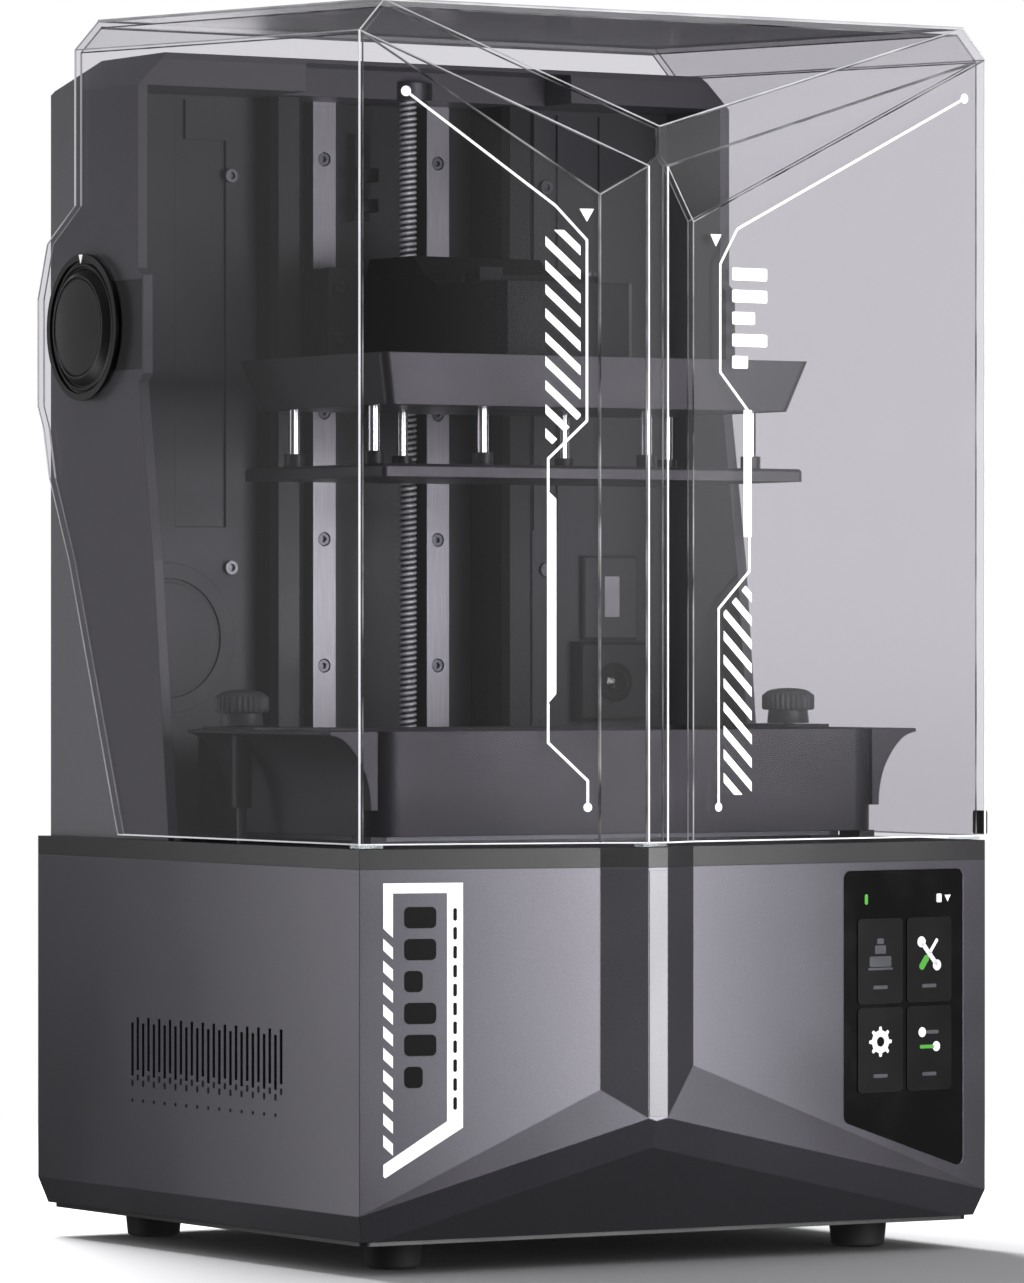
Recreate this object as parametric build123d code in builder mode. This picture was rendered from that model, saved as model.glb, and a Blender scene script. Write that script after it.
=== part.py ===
# Resin printer: folded sheet base, clear flip-up lid, rear tower with the Z drive,
# build platform and a tilting resin vat. Millimetres, +Z up, front towards -Y.
# Origin: centre of the footprint, on the surface the feet stand on.
from build123d import *
import math
import os

os.makedirs("parts", exist_ok=True)

# ---- driving dimensions -------------------------------------------------
body_width = 320.6
body_depth = 323.2
prow_depth = 33.0
ridge_x = -32.0
ridge_strip_width = 9.6
ridge_facet_width = 18.7
ridge_facet_rise = 9.1

foot_height = 12.2
base_skirt_height = 13.4
base_skirt_inset = 4.0
base_top = 171.9
deck_band = 8.5
lid_gap = 2.0
lid_corner_height = 343.6
lid_top_bevel = 13.5
lid_top_inset = 12.0
lid_top_rise = 8.5
lid_wall = 3.0
wall = 3.0
running_gap = 0.05
part_gap = 0.3

star_left_height = 77.3
star_right_height = 86.4
star_point_height = 65.0
star_under_height = 50.6
star_under_inset = 5.0

hinge_from_back = 44.3
hinge_z = 409.4
hinge_disc_radius = 33.0
hinge_disc_proud = 5.0
hinge_pin_radius = 6.0

tower_side_gap = 0.8
tower_wall = 5.0
tower_from_back = 5.2
tower_reach = 43.3
tower_top = 531.0
liner_from_tower_back = 33.4
column_depth = 22.0
column_half_width = 70.0
channel_half_width = 53.0
column_wall = 4.0
header_bottom = 516.0

rail_spacing = 60.6
rail_width = 12.0
rail_depth = 8.0
rail_from_tower_back = 29.4
rail_bottom = 186.0
rail_screw_pitch = 58.1
screw_from_rail = 24.0
screw_radius = 4.0

arm_half_width = 35.5
arm_front_y = -37.0
arm_bottom = 393.6
arm_height = 34.0
carriage_height = 41.0
carriage_plate_from_screw = 14.0
carriage_plate_thickness = 5.0

platform_y = 1.0
plate_width = 218.0
plate_depth = 123.6
plate_bottom = 339.8
plate_thickness = 5.7
body_bottom_width = 208.0
body_bottom_depth = 116.0
body_flare = 6.7
body_height = 22.4
pin_radius = 2.6
level_travel = 3.0

vat_width = 262.0
vat_front_y = -90.0
vat_back_y = 75.0
vat_bottom = 184.4
vat_top = 229.7
vat_wall = 3.5
vat_wing_reach = 20.0
vat_corner = 14.0
knob_from_vat = 12.0
knob_y = 3.6
knob_radius = 12.0
stud_radius = 2.2

tilt_edge_from_knob = 6.0
tilt_front_y = -98.0
tilt_back_y = 76.0
tilt_axis_y = 70.0
tilt_axis_drop = 5.9
tilt_plate_thickness = 8.0
lcd_width = 222.0
lcd_depth = 128.0
pusher_y = -84.0

fan_size = 80.0
fan_depth = 20.0
fan_z = 90.0
fan_y = 5.0

# ---- positions that follow from them ------------------------------------
half_width = body_width / 2
ridge_y = -body_depth / 2
back_y = body_depth / 2
front_y = ridge_y + prow_depth
facet_y = ridge_y + ridge_facet_rise
strip_left = ridge_x - ridge_strip_width / 2
strip_right = ridge_x + ridge_strip_width / 2
facet_left = strip_left - ridge_facet_width
facet_right = strip_right + ridge_facet_width
skirt_top = foot_height + base_skirt_height
deck_top = base_top + deck_band
lid_bottom = deck_top + lid_gap
lid_corner = lid_bottom + lid_corner_height
lid_crease = lid_corner + lid_top_bevel
hinge_y = back_y - hinge_from_back
tower_half = half_width - lid_wall - tower_side_gap
tower_width = 2 * tower_half
tower_back_y = back_y - tower_from_back
tower_front_y = hinge_y - tower_reach
liner_y = tower_back_y - liner_from_tower_back
rail_face_y = tower_back_y - rail_from_tower_back
column_front_y = rail_face_y - column_depth
screw_y = rail_face_y - screw_from_rail
carriage_plate_y = screw_y - carriage_plate_from_screw
vat_half = vat_width / 2
vat_wing_tip_x = vat_half + vat_wing_reach
knob_x = vat_half + knob_from_vat
tilt_half_width = knob_x + tilt_edge_from_knob
tilt_bottom = deck_top - tilt_plate_thickness
tilt_axis_z = tilt_bottom - tilt_axis_drop
body_bottom = arm_bottom - body_height
pin_bottom = plate_bottom + plate_thickness
inside = (0, 0, 120)
inside_lid = (0, 0, 300)


def save(piece, name):
    """Label a finished piece and write it as a STEP file of that name."""
    piece.part.label = name
    export_step(piece.part, f"parts/{name}.step")


def plan_outline(height, inset=0.0):
    """The body's outline seen from above, as a face at a height."""
    with BuildSketch(Plane.XY.offset(height)) as plan:
        with BuildLine():
            Polyline(
                (-half_width, back_y),
                (-half_width, front_y),
                (facet_left, facet_y),
                (strip_left, ridge_y),
                (strip_right, ridge_y),
                (facet_right, facet_y),
                (half_width, front_y),
                (half_width, back_y),
                close=True,
            )
        make_face()
        if inset > 0:
            offset(amount=-inset, kind=Kind.INTERSECTION, mode=Mode.REPLACE)
    return plan.sketch


def rectangle_at(height, x0, x1, y0, y1, radius=0.0):
    """A rectangle face at a height, with rounded corners if a radius is given."""
    with BuildSketch(Plane.XY.offset(height)) as area:
        with Locations(((x0 + x1) / 2, (y0 + y1) / 2)):
            if radius > 0:
                RectangleRounded(x1 - x0, y1 - y0, radius)
            else:
                Rectangle(x1 - x0, y1 - y0)
    return area.sketch


def side_profile(x, points):
    """A face in the YZ plane at x, from (y, z) corner points."""
    with BuildSketch(Plane.YZ.offset(x)) as side:
        with BuildLine():
            Polyline(*points, close=True)
        make_face()
    return side.sketch


def slab(x0, x1, y0, y1, z0, z1, mode=Mode.ADD):
    """Add or cut a box given by its faces."""
    with Locations(((x0 + x1) / 2, (y0 + y1) / 2, (z0 + z1) / 2)):
        Box(x1 - x0, y1 - y0, z1 - z0, mode=mode)


def disc_at(height, radius, places):
    """Circles of one radius at a height, one at each (x, y) place."""
    with BuildSketch(Plane.XY.offset(height)) as discs:
        with Locations(*places):
            Circle(radius)
    return discs.sketch


def disc_facing_x(x, radius, places):
    """Circles in the YZ plane at x, one at each (y, z) place."""
    with BuildSketch(Plane.YZ.offset(x)) as discs:
        with Locations(*places):
            Circle(radius)
    return discs.sketch


def disc_facing_front(y, radius, places):
    """Circles in a plane facing -Y at y, one at each (x, z) place."""
    with BuildSketch(Plane.XZ.offset(-y)) as discs:
        with Locations(*places):
            Circle(radius)
    return discs.sketch


def cut_plane(reference, a, b, c):
    """Plane through three points, its normal pointing away from a reference point."""
    first = Vector(*a)
    normal = (Vector(*b) - first).cross(Vector(*c) - first)
    if normal.dot(Vector(*reference) - first) > 0:
        normal = -normal
    return Plane(origin=first, z_dir=normal)


def ridge_shoulders(inset, points_left, points_right, z0, z1, reference):
    """The block under two sloping shoulder planes that meet at the front ridge."""
    with BuildPart() as block:
        slab(-half_width + inset, half_width - inset, ridge_y + inset, front_y + prow_depth, z0, z1)
        split(bisect_by=cut_plane(reference, *points_left).offset(-inset), keep=Keep.BOTTOM)
        split(bisect_by=cut_plane(reference, *points_right).offset(-inset), keep=Keep.BOTTOM)
    return block.part


# ---- base housing -------------------------------------------------------
corner_left = (-half_width, front_y, skirt_top)
corner_right = (half_width, front_y, skirt_top)
point_left = (strip_left, ridge_y, star_point_height)
point_right = (strip_right, ridge_y, star_point_height)
toe_left = (-half_width + base_skirt_inset, front_y + star_under_inset, foot_height)
toe_right = (half_width - base_skirt_inset, front_y + star_under_inset, foot_height)
pan_thickness = 2.0
shell_bottom = foot_height + pan_thickness
cavity_floor = star_left_height - 4
base_shoulders = ridge_shoulders(
    0,
    (corner_left, (facet_left, facet_y, star_left_height), point_left),
    (corner_right, (facet_right, facet_y, star_right_height), point_right),
    shell_bottom,
    star_right_height + 10,
    inside,
)
cuts = [
    (corner_left, point_left, toe_left),
    (corner_right, point_right, toe_right),
    (toe_left, toe_right, (strip_left, ridge_y + 6.0, star_under_height)),
    (corner_left, (-half_width, back_y, skirt_top), (-half_width + base_skirt_inset, 0, foot_height)),
    (corner_right, (half_width, back_y, skirt_top), (half_width - base_skirt_inset, 0, foot_height)),
    (
        (-half_width, back_y, skirt_top),
        (half_width, back_y, skirt_top),
        (0, back_y - base_skirt_inset, foot_height),
    ),
]
vent_x = -half_width
vent_pitch = 4.95
vent_slots = 28
vent_width = 2.2
vent_slot_height = 23.5
screen_width = 70.5
screen_height = 109.4
screen_slant_drop = 22.6
screen_centre_x = 112.2
screen_top = 168.0
panel_angle = math.degrees(math.atan2(front_y - facet_y, half_width - facet_right))
screen_panel_y = facet_y + (screen_centre_x - facet_right) * math.tan(math.radians(panel_angle))
right_panel = Plane(
    origin=(screen_centre_x, screen_panel_y, 0),
    x_dir=(math.cos(math.radians(panel_angle)), math.sin(math.radians(panel_angle)), 0),
    z_dir=(math.sin(math.radians(panel_angle)), -math.cos(math.radians(panel_angle)), 0),
)
screen_pocket = 7.0
screen_low_left = screen_top - screen_height
screen_low_right = screen_low_left - screen_slant_drop
io_width = 96.0
io_height = 40.0
io_z = 74.0
io_x = 60.0


def screen_outline(depth, inset):
    """The screen's slanted-bottom outline, sunk below the right front panel."""
    with BuildSketch(right_panel.offset(-depth)) as outline:
        with BuildLine():
            Polyline(
                (-screen_width / 2, screen_top),
                (screen_width / 2, screen_top),
                (screen_width / 2, screen_low_right),
                (-screen_width / 2, screen_low_left),
                close=True,
            )
        make_face()
        fillet(outline.vertices(), 3.5)
        if inset > 0:
            offset(amount=-inset, mode=Mode.REPLACE)
    return outline.sketch


with BuildPart() as base_shell:
    extrude(plan_outline(shell_bottom), amount=base_top - shell_bottom)
    add(base_shoulders)
    for cut in cuts:
        split(bisect_by=cut_plane(inside, *cut), keep=Keep.BOTTOM)
    extrude(plan_outline(cavity_floor, wall), amount=base_top - cavity_floor, mode=Mode.SUBTRACT)
    slab(
        -half_width + base_skirt_inset + wall,
        half_width - base_skirt_inset - wall,
        front_y + star_under_inset + wall,
        back_y - base_skirt_inset - wall,
        shell_bottom,
        cavity_floor,
        mode=Mode.SUBTRACT,
    )
    for index in range(vent_slots):
        slot_y = fan_y + (index - (vent_slots - 1) / 2) * vent_pitch
        slot_z = fan_z + (0.0 if index % 2 == 0 else -2.6)
        slab(
            vent_x - 1,
            vent_x + wall + 1,
            slot_y - vent_width / 2,
            slot_y + vent_width / 2,
            slot_z - vent_slot_height / 2,
            slot_z + vent_slot_height / 2,
            mode=Mode.SUBTRACT,
        )
    extrude(screen_outline(-0.5, 0), amount=-screen_pocket - 0.5, mode=Mode.SUBTRACT)
    slab(
        io_x - io_width / 2,
        io_x + io_width / 2,
        back_y - wall - base_skirt_inset - 1,
        back_y + 1,
        io_z - io_height / 2,
        io_z + io_height / 2,
        mode=Mode.SUBTRACT,
    )
save(base_shell, "base_shell")

foot_places = [(x, y) for x in (-120, 120) for y in (-87.5, 126.0)]
with BuildPart() as bottom_pan:
    extrude(
        rectangle_at(
            foot_height,
            -half_width + base_skirt_inset + 1,
            half_width - base_skirt_inset - 1,
            front_y + star_under_inset + 1,
            back_y - base_skirt_inset - 1,
            4,
        ),
        amount=pan_thickness,
    )
    for row in range(9):
        slab(-60, 60, -44 + 10 * row, -40 + 10 * row, foot_height - 1, shell_bottom + 1, mode=Mode.SUBTRACT)
save(bottom_pan, "bottom_pan")

with BuildPart() as feet:
    for place in foot_places:
        extrude(disc_at(foot_height, 13.0, [place]), amount=-foot_height, taper=6)
    fillet(feet.faces().filter_by(Axis.Z).group_by(Axis.Z)[0].edges(), 1.5)
save(feet, "feet")

# ---- deck with the opening for the tilting plate -------------------------
deck_skin = 3.5
opening_gap = 1.0
opening_x = tilt_half_width + opening_gap
deck_hole_radius = 8.0
with BuildPart() as deck_plate:
    extrude(plan_outline(base_top), amount=deck_band)
    extrude(plan_outline(base_top, wall), amount=deck_band - deck_skin, mode=Mode.SUBTRACT)
    slab(
        -opening_x,
        opening_x,
        tilt_front_y - opening_gap,
        tilt_back_y + opening_gap,
        base_top,
        deck_top + 1,
        mode=Mode.SUBTRACT,
    )
    extrude(disc_at(base_top, deck_hole_radius, [(0, screw_y)]), amount=deck_band + 1, mode=Mode.SUBTRACT)
save(deck_plate, "deck_plate")

# ---- touch screen, rear connectors and electronics -----------------------
with BuildPart() as screen_glass:
    extrude(screen_outline(0.2, 0.25), amount=-1.6)
save(screen_glass, "screen_glass")

with BuildPart() as screen_module:
    extrude(screen_outline(1.8, 2.5), amount=-5.0)
save(screen_module, "screen_module")

socket_x = io_x + 30
usb_x = io_x + 2
switch_x = io_x - 28
usb_half = (7.2, 3.6)
socket_radius = 5.5
switch_half = (8.0, 11.0)
rocker_half = (switch_half[0] - 2.0, switch_half[1] - 2.0)
rocker_axis_y = back_y - 4.0
trunnion_radius = 1.5
trunnion_reach = rocker_half[0] + 1.2
with BuildPart() as io_panel:
    slab(
        io_x - io_width / 2,
        io_x + io_width / 2,
        back_y - wall,
        back_y - 1.0,
        io_z - io_height / 2,
        io_z + io_height / 2,
    )
    extrude(
        disc_facing_front(back_y, socket_radius, [(socket_x, io_z)]),
        amount=2 * wall,
        both=True,
        mode=Mode.SUBTRACT,
    )
    slab(
        usb_x - usb_half[0],
        usb_x + usb_half[0],
        back_y - 2 * wall,
        back_y,
        io_z - usb_half[1],
        io_z + usb_half[1],
        mode=Mode.SUBTRACT,
    )
    slab(
        switch_x - switch_half[0],
        switch_x + switch_half[0],
        back_y - 16,
        back_y - 1.0,
        io_z - switch_half[1],
        io_z + switch_half[1],
    )
    slab(
        switch_x - rocker_half[0] - part_gap,
        switch_x + rocker_half[0] + part_gap,
        back_y - 12,
        back_y,
        io_z - rocker_half[1] - 3 * part_gap,
        io_z + rocker_half[1] + 3 * part_gap,
        mode=Mode.SUBTRACT,
    )
    extrude(
        disc_facing_x(
            switch_x - trunnion_reach - part_gap,
            trunnion_radius + running_gap,
            [(rocker_axis_y, io_z)],
        ),
        amount=2 * (trunnion_reach + part_gap),
        mode=Mode.SUBTRACT,
    )
save(io_panel, "io_panel")

with BuildPart() as power_socket:
    extrude(disc_facing_front(back_y - 1.0, socket_radius, [(socket_x, io_z)]), amount=14)
    extrude(disc_facing_front(back_y, 3.6, [(socket_x, io_z)]), amount=12, mode=Mode.SUBTRACT)
    extrude(disc_facing_front(back_y - 4.0, 1.0, [(socket_x, io_z)]), amount=9)
save(power_socket, "power_socket")

with BuildPart() as usb_port:
    slab(
        usb_x - usb_half[0],
        usb_x + usb_half[0],
        back_y - 17,
        back_y - 1.0,
        io_z - usb_half[1],
        io_z + usb_half[1],
    )
    slab(
        usb_x - usb_half[0] + 0.8,
        usb_x + usb_half[0] - 0.8,
        back_y - 14,
        back_y,
        io_z - usb_half[1] + 0.8,
        io_z + usb_half[1] - 0.8,
        mode=Mode.SUBTRACT,
    )
save(usb_port, "usb_port")

with BuildPart() as power_rocker:
    extrude(
        side_profile(
            switch_x - rocker_half[0],
            (
                (rocker_axis_y - 2.5, io_z - 3.5),
                (rocker_axis_y - 1.0, io_z - rocker_half[1]),
                (rocker_axis_y + 1.9, io_z - rocker_half[1]),
                (rocker_axis_y + 1.1, io_z),
                (rocker_axis_y + 3.3, io_z + rocker_half[1]),
                (rocker_axis_y - 1.0, io_z + rocker_half[1]),
                (rocker_axis_y - 2.5, io_z + 3.5),
            ),
        ),
        amount=2 * rocker_half[0],
    )
    extrude(
        disc_facing_x(switch_x - trunnion_reach, trunnion_radius, [(rocker_axis_y, io_z)]),
        amount=2 * trunnion_reach,
    )
save(power_rocker, "power_rocker")

board_y = back_y - 30
with BuildPart() as mainboard:
    slab(-20, 140, board_y - 1.6, board_y, 24, 118)
    slab(0, 30, board_y - 9.6, board_y - 1.6, 40, 70)
    slab(50, 74, board_y - 7.6, board_y - 1.6, 60, 84)
    slab(95, 130, board_y - 11.6, board_y - 1.6, 30, 42)
    for post_z, post_end in ((112, back_y - wall), (32, back_y - base_skirt_inset - wall)):
        extrude(disc_facing_front(post_end, 3.0, [(-14, post_z), (134, post_z)]), amount=post_end - board_y)
save(mainboard, "mainboard")

fan_x = -half_width + base_skirt_inset + wall
fan_half = fan_size / 2
rotor_radius = fan_half - 4.0
with BuildPart() as fan_housing:
    slab(fan_x, fan_x + fan_depth, fan_y - fan_half, fan_y + fan_half, fan_z - fan_half, fan_z + fan_half)
    extrude(
        disc_facing_x(fan_x - 1, rotor_radius + 1, [(fan_y, fan_z)]),
        amount=fan_depth + 2,
        mode=Mode.SUBTRACT,
    )
    slab(
        fan_x + fan_depth - 2,
        fan_x + fan_depth,
        fan_y - 3,
        fan_y + 3,
        fan_z - rotor_radius - 2,
        fan_z + rotor_radius + 2,
    )
    extrude(disc_facing_x(fan_x + fan_depth - 2, 12, [(fan_y, fan_z)]), amount=2)
save(fan_housing, "fan_housing")

blade_count = 7
with BuildPart() as fan_rotor:
    extrude(disc_facing_x(fan_x + 2, 11, [(fan_y, fan_z)]), amount=fan_depth - 4.5)
    for index in range(blade_count):
        angle = 360 * index / blade_count
        with Locations(Location((fan_x + 8.5, fan_y, fan_z), (angle, 0, 0))):
            with Locations(Location((0, 0, (rotor_radius + 9) / 2), (0, 0, 35))):
                Box(1.6, 15, rotor_radius - 9)
save(fan_rotor, "fan_rotor")

# ---- light engine under the screen panel ---------------------------------
led_half = 44.0
heat_sink_z = 24.0
heat_sink_base = 50.0
led_board = 1.6
led_top = heat_sink_base + led_board
hood_top = 151.0
with BuildPart() as heat_sink:
    slab(
        -led_half,
        led_half,
        platform_y - led_half,
        platform_y + led_half,
        heat_sink_base - 6,
        heat_sink_base,
    )
    for index in range(12):
        fin_x = -led_half + 1 + index * (2 * led_half - 4) / 11
        slab(
            fin_x,
            fin_x + 2,
            platform_y - led_half,
            platform_y + led_half,
            heat_sink_z,
            heat_sink_base - 6,
        )
    for post_x in (-led_half + 4, led_half - 4):
        for post_y in (platform_y - led_half + 4, platform_y + led_half - 4):
            slab(post_x - 4, post_x + 4, post_y - 4, post_y + 4, shell_bottom, heat_sink_base - 6)
save(heat_sink, "heat_sink")

with BuildPart() as led_array:
    slab(-led_half, led_half, platform_y - led_half, platform_y + led_half, heat_sink_base, led_top)
    with Locations((0, platform_y, led_top + 0.7)):
        with GridLocations(15, 15, 5, 5):
            Box(5, 5, 1.4)
save(led_array, "led_array")

hood_wall = 2.5
with BuildPart() as light_hood:
    with BuildSketch(Plane.XY.offset(led_top)):
        with Locations((0, platform_y)):
            Rectangle(2 * led_half, 2 * led_half)
    with BuildSketch(Plane.XY.offset(hood_top)):
        with Locations((0, platform_y)):
            Rectangle(lcd_width + 8, lcd_depth + 8)
    loft()
    with BuildSketch(Plane.XY.offset(led_top)):
        with Locations((0, platform_y)):
            Rectangle(2 * (led_half - hood_wall), 2 * (led_half - hood_wall))
    with BuildSketch(Plane.XY.offset(hood_top)):
        with Locations((0, platform_y)):
            Rectangle(lcd_width + 8 - 2 * hood_wall, lcd_depth + 8 - 2 * hood_wall)
    loft(mode=Mode.SUBTRACT)
save(light_hood, "light_hood")

with BuildPart() as collimator_lens:
    slab(
        -lcd_width / 2 - 4,
        lcd_width / 2 + 4,
        platform_y - lcd_depth / 2 - 4,
        platform_y + lcd_depth / 2 + 4,
        hood_top,
        hood_top + 3,
    )
save(collimator_lens, "collimator_lens")

# ---- tilting plate, masking panel and resin vat --------------------------
tilt_pin_radius = 3.0
lug_places = (-118.0, 104.0)
lug_width = 14.0
with BuildPart() as tilt_plate:
    extrude(
        rectangle_at(tilt_bottom, -tilt_half_width, tilt_half_width, tilt_front_y, tilt_back_y),
        amount=tilt_plate_thickness,
    )
    slab(
        -lcd_width / 2 + 4,
        lcd_width / 2 - 4,
        platform_y - lcd_depth / 2 + 4,
        platform_y + lcd_depth / 2 - 4,
        tilt_bottom - 1,
        deck_top + 1,
        mode=Mode.SUBTRACT,
    )
    for lug_x in lug_places:
        slab(lug_x, lug_x + lug_width, tilt_axis_y - 5, tilt_axis_y + 5, tilt_axis_z - 5, tilt_bottom)
    for rest_x in (-vat_half + 5, vat_half - 5):
        for rest_y in (vat_front_y + 12, vat_back_y - 10):
            slab(rest_x - 4, rest_x + 4, rest_y - 8, rest_y + 8, deck_top, vat_bottom)
    extrude(
        disc_facing_x(-tilt_half_width, tilt_pin_radius + running_gap, [(tilt_axis_y, tilt_axis_z)]),
        amount=2 * tilt_half_width,
        mode=Mode.SUBTRACT,
    )
    stud_places = [(-knob_x, knob_y), (knob_x, knob_y)]
    extrude(
        disc_at(tilt_bottom - 1, stud_radius + running_gap, stud_places),
        amount=tilt_plate_thickness + 2,
        mode=Mode.SUBTRACT,
    )
save(tilt_plate, "tilt_plate")

pin_overhang = 10.0
bracket_width = 6.0
with BuildPart() as tilt_brackets:
    for lug_x in lug_places:
        for start in (lug_x - pin_overhang, lug_x + lug_width + pin_overhang - bracket_width):
            slab(
                start,
                start + bracket_width,
                tilt_axis_y - 6,
                tilt_axis_y + 16,
                tilt_axis_z - 8,
                tilt_axis_z + 5,
            )
            slab(
                start,
                start + bracket_width,
                tilt_back_y + opening_gap,
                tilt_axis_y + 16,
                tilt_axis_z + 5,
                deck_top - deck_skin,
            )
        extrude(
            disc_facing_x(lug_x - pin_overhang, tilt_pin_radius, [(tilt_axis_y, tilt_axis_z)]),
            amount=lug_width + 2 * pin_overhang,
        )
save(tilt_brackets, "tilt_brackets")

with BuildPart() as lcd_panel:
    slab(
        -lcd_width / 2,
        lcd_width / 2,
        platform_y - lcd_depth / 2,
        platform_y + lcd_depth / 2,
        deck_top,
        vat_bottom - 0.5,
    )
save(lcd_panel, "lcd_panel")

film_x = lcd_width / 2 + 2
film_y = lcd_depth / 2 + 2
with BuildPart() as film_frame:
    slab(
        -film_x - 7,
        film_x + 7,
        platform_y - film_y - 7,
        platform_y + film_y + 7,
        vat_bottom - 2.4,
        vat_bottom,
    )
    slab(
        -film_x,
        film_x,
        platform_y - film_y,
        platform_y + film_y,
        vat_bottom - 3,
        vat_bottom + 1,
        mode=Mode.SUBTRACT,
    )
save(film_frame, "film_frame")

with BuildPart() as release_film:
    slab(-film_x, film_x, platform_y - film_y, platform_y + film_y, vat_bottom - 0.3, vat_bottom)
save(release_film, "release_film")

vat_floor = 3.0
wing_front_y = vat_front_y + 2
wing_back_y = 38.0
sleeve_radius = 4.4
pad_half = 23.0
pad_rise = 1.3


def wing_profile(side):
    """Half section of the vat's flared wing, in the XZ plane, on one side."""
    with BuildSketch(Plane.XZ.offset(-wing_front_y)) as section:
        with BuildLine():
            Polyline(
                (side * (vat_half - vat_wall), vat_top),
                (side * vat_wing_tip_x, vat_top),
                (side * vat_wing_tip_x, vat_top - 1.6),
            )
            Spline(
                (side * vat_wing_tip_x, vat_top - 1.6),
                (side * (vat_half + 9.0), vat_top - 8.0),
                (side * vat_half, vat_top - 34.0),
                tangents=((-side, -0.1), (0, -1)),
            )
            Polyline(
                (side * vat_half, vat_top - 34.0),
                (side * (vat_half - vat_wall), vat_top - 34.0),
                (side * (vat_half - vat_wall), vat_top),
            )
        make_face()
    return section.sketch


with BuildPart() as vat_body:
    extrude(
        rectangle_at(vat_bottom, -vat_half, vat_half, vat_front_y, vat_back_y, vat_corner),
        amount=vat_top - vat_bottom,
    )
    for side in (-1, 1):
        extrude(wing_profile(side), amount=-(wing_back_y - wing_front_y))
        slab(
            min(side * (vat_half - vat_wall), side * (vat_wing_tip_x - 1)),
            max(side * (vat_half - vat_wall), side * (vat_wing_tip_x - 1)),
            knob_y - pad_half,
            knob_y + pad_half,
            vat_top,
            vat_top + pad_rise,
        )
        extrude(disc_at(vat_top - 34, sleeve_radius, [(side * knob_x, knob_y)]), amount=34)
    extrude(
        rectangle_at(
            vat_bottom + vat_floor,
            -vat_half + vat_wall,
            vat_half - vat_wall,
            vat_front_y + vat_wall,
            vat_back_y - vat_wall,
            vat_corner - vat_wall,
        ),
        amount=vat_top,
        mode=Mode.SUBTRACT,
    )
    slab(
        -film_x,
        film_x,
        platform_y - film_y,
        platform_y + film_y,
        vat_bottom - 1,
        vat_bottom + vat_floor + 1,
        mode=Mode.SUBTRACT,
    )
    extrude(disc_at(vat_bottom, stud_radius + running_gap, stud_places), amount=60, mode=Mode.SUBTRACT)
save(vat_body, "vat_body")

knob_bottom = vat_top + pad_rise + part_gap
collar_height = 6.0
knob_height = 10.0
for side, name in ((-1, "vat_knob_left"), (1, "vat_knob_right")):
    with BuildPart() as vat_knob:
        place = [(side * knob_x, knob_y)]
        extrude(disc_at(tilt_bottom + 1, stud_radius, place), amount=knob_bottom - tilt_bottom)
        extrude(disc_at(knob_bottom, 9.4, place), amount=collar_height)
        extrude(disc_at(knob_bottom + collar_height, knob_radius, place), amount=knob_height)
        for index in range(24):
            angle = math.radians(15 * index)
            notch_x = side * knob_x + (knob_radius + 0.3) * math.cos(angle)
            notch_y = knob_y + (knob_radius + 0.3) * math.sin(angle)
            extrude(
                disc_at(knob_bottom + collar_height - 1, 1.0, [(notch_x, notch_y)]),
                amount=knob_height - 1,
                mode=Mode.SUBTRACT,
            )
    save(vat_knob, name)

# ---- tilt drive under the front of the plate -----------------------------
actuator_top = 148.0
pusher_radius = 9.0
pusher_bottom = 122.0
with BuildPart() as tilt_actuator:
    slab(-17, 17, pusher_y - 17, pusher_y + 17, 60, actuator_top)
    slab(-24, 24, pusher_y - 10, pusher_y + 10, shell_bottom, 60)
    extrude(
        disc_at(pusher_bottom - 8, pusher_radius + running_gap, [(0, pusher_y)]),
        amount=actuator_top - pusher_bottom + 9,
        mode=Mode.SUBTRACT,
    )
save(tilt_actuator, "tilt_actuator")

with BuildPart() as tilt_pusher:
    extrude(
        disc_at(pusher_bottom, pusher_radius, [(0, pusher_y)]),
        amount=tilt_bottom - part_gap - pusher_bottom,
    )
save(tilt_pusher, "tilt_pusher")

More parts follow.
